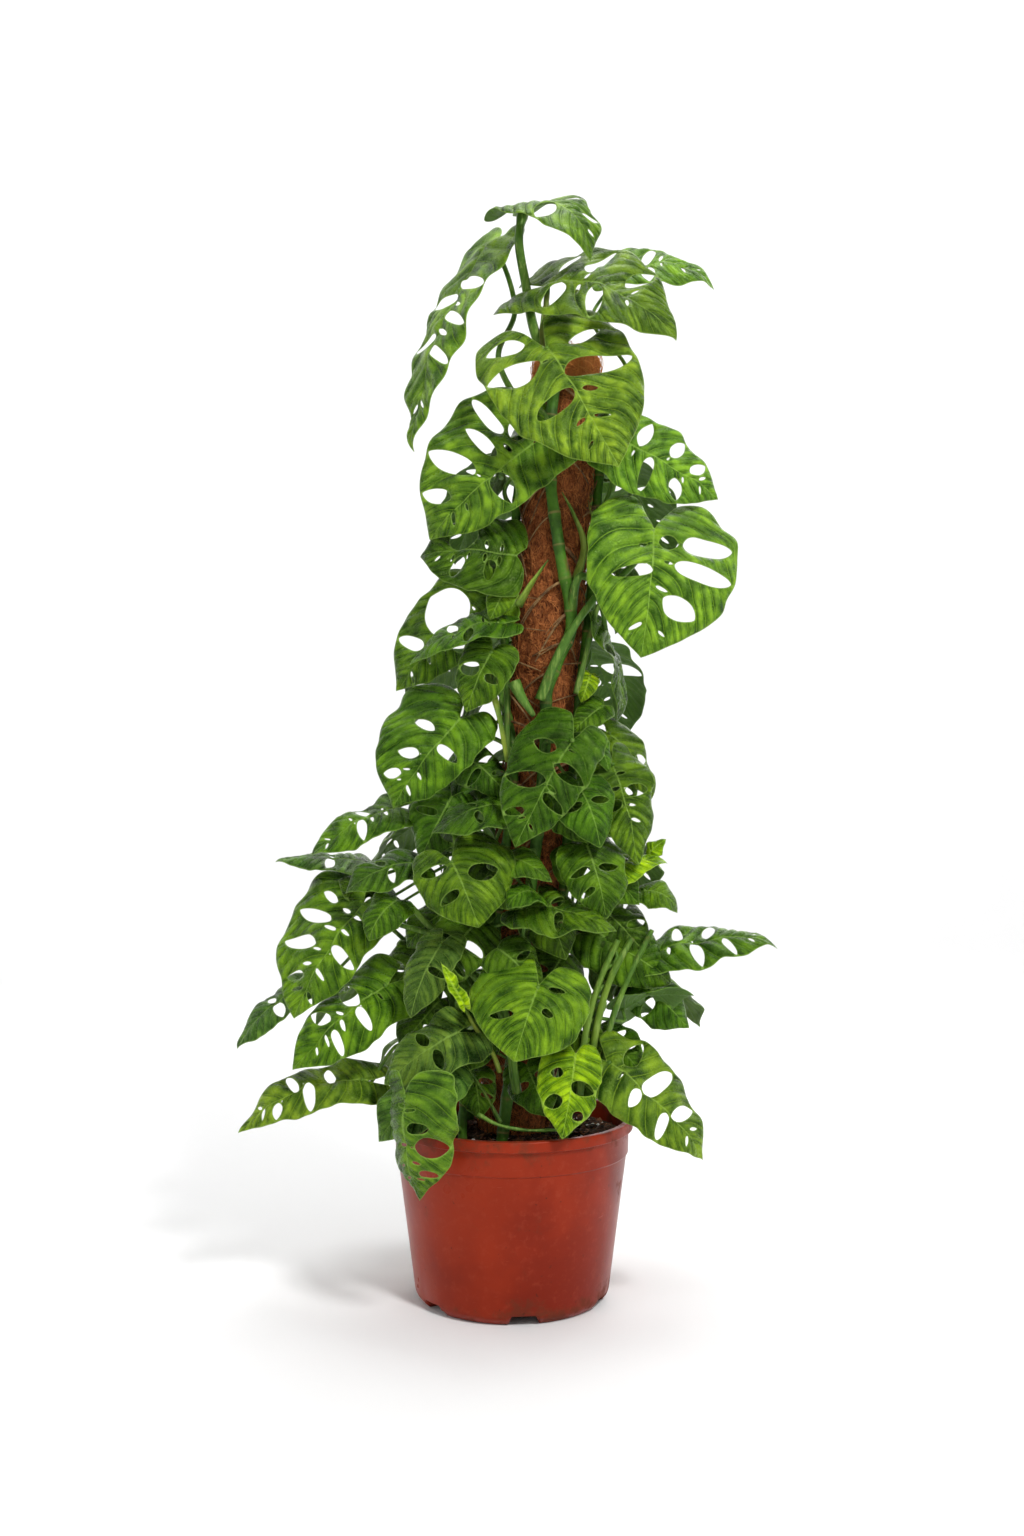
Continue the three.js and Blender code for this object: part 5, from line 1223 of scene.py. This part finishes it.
def makeFibreTree():
    tree, given = newTree("bentFibres", [
        ("Density", "NodeSocketFloat", 1.0), ("Seed", "NodeSocketInt", 0),
        ("Length", "NodeSocketFloat", 0.014), ("Thickness", "NodeSocketFloat", 0.00022),
        ("Lift", "NodeSocketFloat", 0.0012),
        ("Surface", "NodeSocketMaterial", None)])
    spread = addNode(tree, "GeometryNodeDistributePointsOnFaces", Mesh=given["Geometry"],
                     Density=given["Density"], Seed=given["Seed"])
    # one fibre, lying along its own X and bowed up and sideways
    back, half, side = (times(tree, given["Length"], share) for share in (-0.5, 0.5, 0.3))
    start, middle, end = (addNode(tree, "ShaderNodeCombineXYZ", **corner).outputs[0]
                          for corner in (dict(X=back), dict(Y=side, Z=given["Lift"]), dict(X=half)))
    bow = addNode(tree, "GeometryNodeCurveQuadraticBezier", Resolution=4, Start=start, Middle=middle, End=end)
    circle = addNode(tree, "GeometryNodeCurvePrimitiveCircle", Resolution=3, Radius=given["Thickness"])
    fibre = addNode(tree, "GeometryNodeCurveToMesh", Curve=bow.outputs["Curve"],
                    Profile_Curve=circle.outputs["Curve"], Fill_Caps=True)
    turn = addNode(tree, "FunctionNodeRandomValue", dict(data_type="FLOAT_VECTOR"), Min=(-0.25, -0.25, 0.0),
                   Max=(0.25, 0.25, 6.28))
    rotate = addNode(tree, "FunctionNodeRotateRotation", dict(rotation_space="LOCAL"),
                     Rotation=spread.outputs["Rotation"], Rotate_By=turn.outputs[0])
    size = addNode(tree, "FunctionNodeRandomValue", dict(data_type="FLOAT_VECTOR"), Min=(0.5, 0.4, 0.6),
                   Max=(1.5, 1.6, 1.7))
    place = addNode(tree, "GeometryNodeInstanceOnPoints", Points=spread.outputs["Points"],
                    Instance=fibre.outputs["Mesh"], Rotation=rotate.outputs[0], Scale=size.outputs[0])
    return finishTree(tree, place.outputs["Instances"], given["Surface"])


def makeFibreSurface():
    s = poleSettings
    material, tree, shader = newMaterial("fibreSurface")
    place = objectPlace(tree)
    height = addNode(tree, "ShaderNodeSeparateXYZ", Vector=place).outputs["Z"]
    thread = noiseNode(tree, place, 150.0, 4, 0.7)
    body = mixColour(tree, mapRange(tree, thread, 0.38, 0.62), s["darkFibre"], s["paleFibre"])
    # fibres lighter towards the top of the pole
    body = overlay(tree, body, s["paleTopFibre"], mapRange(tree, height, *s["paleTopHeights"]), 0.75)
    finishShader(tree, shader, body, Roughness=0.85, Specular_IOR_Level=0.05)
    return material


def makePole():
    s = poleSettings
    draw = random.Random(s["seed"])
    waves = [(draw.randint(2, 11), draw.uniform(0.05, 0.5), draw.uniform(0, 6.3)) for _ in range(s["waves"])]
    heights = list(np.arange(pole["foot"], pole["top"] - s["shoulder"], s["step"]))
    rings = [(1.0, z) for z in heights]
    for turn in np.linspace(0, math.pi / 2, s["shoulderSteps"]):
        share = 1 - s["shoulderIn"] * (1 - math.cos(turn))
        rings.append((share, pole["top"] - s["shoulder"] * (1 - math.sin(turn))))
    vertices = []
    faces = []
    sides = s["sides"]
    for share, z in rings:
        for k in range(sides):
            turn = 2 * math.pi * k / sides
            dent = sum(math.sin(n * turn + pace * z + phase) for n, pace, phase in waves) / 5
            radius = (pole["radius"] - s["inset"] + s["uneven"] * dent) * share
            vertices.append((radius * math.cos(turn) + poleX(z), radius * math.sin(turn), z))
    for low in range(0, (len(rings) - 1) * sides, sides):
        for k in range(sides):
            n = (k + 1) % sides
            faces.append((low + k, low + n, low + sides + n, low + sides + k))
    foot = len(vertices)
    vertices.append((poleX(pole["foot"]), 0, pole["foot"]))
    vertices.append((poleX(pole["top"]), 0, pole["top"] + 1))
    last = (len(rings) - 1) * sides
    for k in range(sides):
        n = (k + 1) % sides
        faces.append((foot, n, k))
        faces.append((foot + 1, last + k, last + n))
    matted = makeCoirSurface()
    loose = makeFibreSurface()
    core = meshFrom("coirCore", np.array(vertices) * mm, faces, matted)
    plain = core.data.copy()
    # fibres only above the soil
    keepFaces(core.data, lambda middle: middle.z >= (soil["top"] - s["bareBelowTop"]) * mm)
    density = s["fibres"] / sum(face.area for face in core.data.polygons)
    fibres = applyTree(core, makeFibreTree(), {**s["fibre"], "Density": density, "Surface": loose})
    bpy.data.objects.remove(core)
    keep(joinedPiece("coirPole", [plain, fibres], [matted, loose]), "coir", "pole")


makePole()
print("coir pole ready")


# Stems: thick climbing canes with leaf-scar rings, held to the pole by short aerial roots
stemSettings = dict(
    step=2.4, sides=16, nodeEvery=27, nodeLong=3.2, swell=0.13, tip=(0.9, 0.7, 0.4),
    roots=3, rootReach=14, rootSeed=41, rootsFrom=12, rootTurn=(0.5, 1.5), rootDrop=(4, 46), rootOffPole=0.9,
    rootRadius=(0.8, 1.5),
    green=screenColour(32, 66, 12), paleGreen=screenColour(68, 112, 28), bark=screenColour(116, 88, 50),
    scar=screenColour(128, 108, 66), dust=screenColour(150, 150, 96), shine=(0.6, 0.8, 0.4, 1),
)


def makeStemSurface():
    s = stemSettings
    material, tree, shader = newMaterial("stemSurface")
    place = objectPlace(tree)
    patch = noiseNode(tree, place, 36.0, 5, 0.65)
    fine = noiseNode(tree, place, 300.0, 4)
    ringed = readAttribute(tree, "fromNode")   # millimetres
    body = mixColour(tree, mapRange(tree, patch, 0.36, 0.62), s["green"], s["paleGreen"])
    body = overlay(tree, body, s["bark"], mapRange(tree, patch, 0.6, 0.72), 0.7)
    body = overlay(tree, body, s["scar"], mapRange(tree, ringed, 1.6, 0.4), 0.75)
    body = overlay(tree, body, s["dust"], mapRange(tree, fine, 0.6, 0.75), 0.3)
    finishShader(tree, shader, body, fine, 0.5, 0.0008, Roughness=0.5, Specular_Tint=s["shine"])
    return material


stemSurface = makeStemSurface()


def makeStem(name, stem):
    s = stemSettings
    draw = random.Random(name)
    line = evenly(smoothCurve(stemPoints(stem), 30), s["step"])
    length = np.arange(len(line)) * s["step"]
    start = draw.uniform(0, s["nodeEvery"])
    fromNode = np.abs((length + start) % s["nodeEvery"] - 0.5 * s["nodeEvery"])
    bump = s["swell"] * np.exp(-(fromNode / s["nodeLong"]) ** 2)
    radii = stem["radius"] * (0.93 + bump + 0.03 * np.sin(length / 7 + start))
    radii[-3:] *= np.array(s["tip"])
    mesh = sweepPaths([(line, radii)], s["sides"], stemSurface)
    closest = [int(np.argmin(((line - p) ** 2).sum(1))) for p in meshPlaces(mesh)]
    mesh.attributes.new("fromNode", "FLOAT", "POINT").data.foreach_set("value", fromNode[closest])
    keep(pieceFrom(mesh, "stem" + name[0].upper() + name[1:]), "stem", "stem_" + name)
    return line, [i for i in range(1, len(line) - 1) if fromNode[i - 1] > fromNode[i] <= fromNode[i + 1]]


# Aerial roots run from the canes' rings round the pole or down towards the soil.
def makeRoots(canes):
    s = stemSettings
    draw = random.Random(s["rootSeed"])
    paths = []
    for line, places in canes.values():
        for place in places:
            start = line[place]
            bearing = math.atan2(start[1], start[0] - poleX(start[2]))
            away = math.hypot(start[1], start[0] - poleX(start[2]))
            if start[2] < soil["top"] + s["rootsFrom"] or away > pole["radius"] + s["rootReach"]:
                continue
            for _ in range(draw.randint(1, s["roots"])):
                sweep = draw.choice([-1, 1]) * draw.uniform(*s["rootTurn"])
                drop = draw.uniform(*s["rootDrop"])
                points = [start]
                for t in (0.25, 0.5, 0.75, 1.0):
                    z = start[2] - drop * t ** 1.3
                    close = pole["radius"] + s["rootOffPole"]
                    near = close + (away - close) * (1 - t) ** 2 + draw.uniform(0, 0.8)
                    points.append(aroundPole(math.degrees(bearing + sweep * t), near, z))
                root = evenly(smoothCurve(points, 10), 3.0)
                t = np.linspace(0, 1, len(root))
                paths.append((root, draw.uniform(*s["rootRadius"]) * (1 - 0.6 * t)))
    surface = makeGrainSurface("rootSurface", (84, 58, 34), (150, 116, 74), 130.0, 0.75)
    keep(pieceFrom(sweepPaths(paths, 6, surface), "aerialRoots"), "stem")


canes = {name: makeStem(name, stem) for name, stem in stems.items()}
makeRoots(canes)
print("stems and aerial roots ready")


# Back leaves: bearing, distance from the pole and height of the stalk's end and of the tip, half width
def backLeaf(spray, index):
    bearing, baseOut, baseZ, tipOut, tipZ, half = spray["leaves"][index]
    turn = math.radians(bearing)
    return dict(
        name=spray["name"] if index == 0 else f"{spray['name']}_{index + 1}",
        base=aroundPole(bearing, baseOut, baseZ), tip=aroundPole(bearing, tipOut, tipZ), wide=[half, half],
        face=[math.cos(turn), math.sin(turn), 0.6], bow=14,
        holes=[[0.5, 0.14, 0.28, 0.1], [0.48, 0.44, 0.28, 0.1], [-0.5, 0.28, 0.34, 0.12]],
        stem=spray["stem"] if index == 0 else spray["name"],
        start=spray["start"] if index == 0 else 0.2 + 0.09 * index,
    )


# Small filling leaves without a solid of their own: column, row and depth of the stalk's end and the tip,
# half width, stem, height on the stem
fillLeaves = [
    [486, 1012, -52, 462, 1074, -66, 24, "lowFront", 230],
    [528, 1068, -60, 548, 1118, -74, 21, "lowFront", 210],
    [474, 1074, -58, 480, 1120, -70, 17, "lowFront", 190],
    [560, 1010, -38, 600, 1060, -52, 24, "lowRight", 215],
    [604, 1036, -34, 640, 1072, -44, 22, "lowRight", 225], [470, 930, -52, 430, 990, -60, 26, "front", 300],
    [540, 900, -48, 566, 960, -60, 24, "front", 330], [486, 862, -50, 520, 912, -58, 22, "front", 360],
    [580, 850, -34, 640, 905, -46, 26, "right", 350], [600, 905, -22, 650, 960, -34, 26, "right", 300],
    [450, 800, -36, 420, 860, -46, 26, "left", 420], [560, 790, -44, 596, 846, -56, 22, "front", 410],
    [440, 1000, -26, 400, 1050, -38, 24, "lowLeft", 215], [600, 800, -18, 634, 744, -14, 22, "right", 420],
    [470, 760, -30, 510, 800, -40, 18, "left", 470], [500, 540, -36, 478, 588, -40, 18, "left", 590],
    [380, 900, -10, 338, 880, -8, 20, "left", 340], [640, 985, -8, 690, 1028, -14, 22, "lowRight", 245],
    [560, 960, -46, 530, 1010, -62, 24, "front", 270], [420, 960, -30, 376, 1010, -34, 24, "lowLeft", 250],
]


def fillLeaf(index, row):
    column, height, depth, tipColumn, tipHeight, tipDepth, half, stem, start = row
    return dict(
        name=f"fill_{index}", base=seen(column, height, depth), tip=seen(tipColumn, tipHeight, tipDepth),
        wide=[half, half * 0.92], face=[0.1 * (-1) ** index, -0.85, 0.4], bow=7, fold=0.22,
        stem=stem, start=start, lobe=0.24, thick=1.6, neck=9, wave=3.5, phase=index, twist=14 * (-1) ** index,
        holes=[[0.5, 0.2, 0.3, 0.12], [-0.5, 0.3, 0.3, 0.12], [0.46, 0.52, 0.26, 0.1]],
    )


# Leaves on both sides of the pole, without a solid of their own: bearing, then distance from the pole and
# height of the stalk's end and of the tip, half width, stem, height on the stem
sideLeaves = [
    [4, 45, 732, 60, 652, 33, "right", 700], [24, 46, 640, 66, 556, 35, "right", 600],
    [-8, 46, 560, 64, 478, 33, "right", 520], [16, 50, 470, 66, 386, 36, "right", 430],
    [2, 52, 372, 84, 288, 36, "right", 330], [26, 56, 300, 100, 226, 34, "backRight", 260],
    [178, 44, 716, 54, 640, 32, "left", 680], [160, 46, 610, 60, 530, 33, "left", 580],
    [176, 46, 520, 70, 440, 34, "left", 480], [160, 50, 430, 84, 350, 35, "backLeft", 390],
    [174, 54, 344, 92, 262, 34, "left", 300],
]


def sideLeaf(index, row):
    *place, stem, start = row
    leaf = backLeaf(dict(name=f"side_{index}", stem=stem, start=start, leaves=[place]), 0)
    return {**leaf, "bow": 9, "wave": 3, "phase": index, "twist": 12 * (-1) ** index}


sceneOnly = {"fill": "filling_leaves", "side": "side_leaves"}
limeNodes = ("leaf_young", "leaf_rolled", "leaf_lime", "leaf_yellow")
# which tone each leaf takes: lit leaves take the light tone as painted light, leaves in shade the deep tone
# as painted shade
tones = dict(
    light="top upper_left upper_right far_right crown left_big right_upper right_heart far_left right_front"
          " hanging",
    deep="left_dark band nook behind_light shade under_front shelf glossy edge dark_under low_shade round"
         " fill_left fill_right fill_low_right fill_centre fresh puckered mid_right front fold",
    bluish="bluish fill_low_left low_wing left_tail ragged over_rim",
)
toneOf = {"leaf_" + name: tone for tone, names in tones.items() for name in names.split()}


def readyLeaf(row, draw):
    leaf = {**leafDefaults, **row}
    span = leaf["tip"] - leaf["base"]
    leaf["length"] = np.linalg.norm(span)
    leaf["axis"] = span / leaf["length"]
    face = unit(np.array(leaf["face"], float))
    leaf["out"] = unit(face - leaf["axis"] * (face @ leaf["axis"]))
    leaf["right"] = np.cross(leaf["out"], leaf["axis"])
    leaf["veinStart"] = draw.uniform(0, 1)
    leaf["patternShift"] = draw.uniform(0, 40)
    # the filling leaves default to the deep tone, partly painted shade; other leaves not listed take the mid
    # tone
    tone = toneOf.get(leaf["name"], "deep" if leaf["name"].startswith("fill") else "mid")
    colour = np.array(tints["lime" if leaf["lime"] else tone])
    bright = draw.uniform(0.8, 1.3)
    leaf["tint"] = colour * np.array([bright * draw.uniform(0.9, 1.2), bright, bright * 0.8, 1.0])
    if leaf["base"][2] < bladeSettings["lowerLeaves"]:
        leaf["wave"] *= bladeSettings["lowerWave"]
        leaf["fold"] += bladeSettings["lowerFold"]
    return leaf


def growLeaves():
    rows = frontLeaves + [fillLeaf(i, row) for i, row in enumerate(fillLeaves)]
    rows += [sideLeaf(i, row) for i, row in enumerate(sideLeaves)]
    rows += [backLeaf(spray, i) for spray in backSprays for i in range(len(spray["leaves"]))]
    nodes = {}
    owner = {}
    triangles = 0
    for row in rows:
        draw = random.Random(row["name"])
        leaf = readyLeaf(row, draw)
        root = leaf["name"] if leaf["stem"] in stems else owner[leaf["stem"]]
        root = sceneOnly.get(leaf["name"].split("_")[0], root)
        owner[leaf["name"]] = root
        blade = bladeMesh(leaf, draw)
        blade["tint"] = np.tile(leaf["tint"], (len(blade["vertices"]), 1))
        stalk = stalkPart([stalkPath(leaf)], leaf["tint"])
        nodes.setdefault(root, []).extend([blade, stalk])
        triangles += len(blade["faces"])
    for node, parts in nodes.items():
        first, *rest = node.split("_")
        lime = node in limeNodes
        name = first + "".join(word.capitalize() for word in rest)
        solid = [] if node in sceneOnly.values() else [node]
        keep(joinParts(name, parts), "leaf_lime" if lime else "leaf", *solid)
    print(f"{len(rows)} leaves in {len(nodes)} pieces, {triangles} blade triangles")


# Petioles and dried sheaths that stand alone: colour, start and end radius, flatness, then the places seen
shoots = [
    [(118, 140, 40), 3.4, 2.6, 1.0, (588, 1090, -58), (598, 1020, -52), (612, 975, -48), (632, 938, -40)],
    [(104, 130, 38), 3.0, 2.4, 1.0, (580, 1095, -62), (586, 1030, -58), (600, 980, -50), (618, 940, -44)],
    [(88, 118, 34), 2.8, 2.2, 1.0, (598, 1085, -48), (612, 1020, -46), (632, 970, -40), (652, 930, -34)],
    [(96, 124, 36), 3.2, 2.6, 1.0, (516, 1092, -62), (500, 1012, -60), (455, 955, -50), (408, 903, -38)],
    [(80, 112, 30), 2.8, 2.2, 1.0, (520, 1100, -66), (492, 975, -60), (440, 938, -50), (400, 925, -38)],
    [(100, 62, 34), 2.6, 2.2, 1.0, (546, 352, -34), (545, 320, -30), (548, 284, -33)],
    [(92, 58, 32), 2.0, 1.6, 1.0, (560, 352, -30), (573, 320, -26), (577, 290, -26)],
    [(118, 74, 44), 3.8, 1.2, 0.5, (544, 352, -36), (542, 330, -34), (544, 306, -32)],
    [(150, 168, 58), 7.5, 0.8, 0.35, (518, 606, -36), (530, 586, -40), (548, 560, -40)],
    [(132, 140, 52), 7.0, 0.8, 0.35, (576, 580, -34), (584, 545, -30), (574, 515, -32), (562, 492, -34)],
    [(146, 92, 44), 4.6, 0.8, 0.35, (592, 560, -20), (594, 530, -20), (588, 500, -22)],
    [(150, 158, 56), 4.6, 2.0, 0.4, (482, 648, -34), (490, 682, -42), (500, 720, -44), (507, 762, -42)],
    [(64, 108, 36), 8.0, 3.0, 0.7, (514, 682, -46), (522, 698, -47), (534, 716, -46)],
    [(44, 84, 20), 4.6, 2.6, 1.0, (540, 700, -42), (556, 660, -45), (576, 624, -44), (602, 588, -38)],
    [(50, 60, 26), 2.8, 2.0, 1.0, (576, 694, -34), (585, 658, -33), (600, 604, -30), (606, 630, -26)],
    [(172, 176, 60), 2.8, 1.8, 0.7, (500, 1072, -66), (492, 1052, -68), (472, 1022, -66), (456, 984, -60)],
    [(128, 140, 50), 5.0, 1.0, 0.4, (500, 1122, -66), (484, 1092, -68), (462, 1058, -66)],
    [(92, 128, 44), 1.6, 1.2, 1.0, (478, 1114, -78), (496, 1124, -82), (524, 1130, -82), (560, 1130, -78)],
    [(58, 72, 28), 3.0, 2.4, 1.0, (506, 760, -38), (507, 690, -38), (502, 636, -36)],
]


def makeShoots():
    parts = []
    for colour, first, last, flatness, *places in shoots:
        line = evenly(smoothCurve([seen(*place) for place in places], 14), 2.5)
        t = np.linspace(0, 1, len(line))
        radii = first + (last - first) * t + 0.18 * np.sin(t * 17)
        parts.append(stalkPart([(line, radii)], np.array(screenColour(*colour)), flatness))
    keep(joinParts("looseShoots", parts), "stem")


growLeaves()
makeShoots()


# Camera, stage and lights
cameraSettings = dict(lens=35.0, sensor=36.0)
cameraData = bpy.data.cameras.new("frontCamera")
cameraData.lens = cameraSettings["lens"]
cameraData.sensor_width = cameraSettings["sensor"]
camera = bpy.data.objects.new("frontCamera", cameraData)
camera.location = (0, -view["distance"] * mm, view["height"] * mm)
camera.rotation_euler = (math.radians(90 + view["tiltUp"]), 0, 0)
bpy.context.collection.objects.link(camera)
bpy.context.scene.camera = camera
bpy.context.scene.view_settings.view_transform = "Standard"

stageSettings = dict(
    flat=2.3, bend=0.9, wall=5.2, sides=96, shade=(0.9, 0.9, 0.9, 1), lightShade=(0.93, 0.93, 0.93, 1),
    sky=0.09,
)
lights = [   # name, place, where it points, size, power
    ("keyLight", (0.9, -1.6, 2.0), (0, 0, 0.5), 0.45, 41),
    ("fillLight", (-1.7, -1.5, 0.9), (0, 0, 0.45), 1.6, 2.6),
    ("topLight", (0.1, 0.2, 2.3), (0, 0, 0.5), 1.1, 9),
    ("wallLight", (0, 0.9, 3.1), (0, 3.2, 1.0), 2.4, 48),
    ("backLight", (0.6, 1.7, 1.5), (0, 0, 0.5), 1.4, 8),
]


def makeStage():   # a pale floor that rises all round into a wall
    s = stageSettings
    material, tree, shader = newMaterial("paleFloor")
    speckle = noiseNode(tree, objectPlace(tree), 3.0, 3)
    shade = mixColour(tree, speckle, s["shade"], s["lightShade"])
    finishShader(tree, shader, shade, Roughness=0.9, Specular_IOR_Level=0.1)
    profile = [(s["flat"] + s["bend"], s["wall"])]
    for turn in np.radians(np.linspace(90, 0, 13)):
        profile.append((s["flat"] + s["bend"] * math.sin(turn), s["bend"] * (1 - math.cos(turn))))
    vertices, faces = turnedShell(profile + [(1.2, 0), (0.4, 0), (0, 0)], s["sides"])
    meshFrom("floor", vertices, faces, material)


def areaLight(name, place, aim, size, power):
    data = bpy.data.lights.new(name, "AREA")
    data.shape = "DISK"
    data.size = size
    data.energy = power
    light = bpy.data.objects.new(name, data)
    light.location = place
    light.rotation_euler = (Vector(aim) - Vector(place)).to_track_quat("-Z", "Y").to_euler()
    bpy.context.collection.objects.link(light)


makeStage()
for light in lights:
    areaLight(*light)
world = bpy.data.worlds.new("softWorld")
world.use_nodes = True
background = world.node_tree.nodes["Background"].inputs
background["Color"].default_value = (1, 1, 1, 1)
background["Strength"].default_value = stageSettings["sky"]
bpy.context.scene.world = world
print("stage, camera and lights ready")
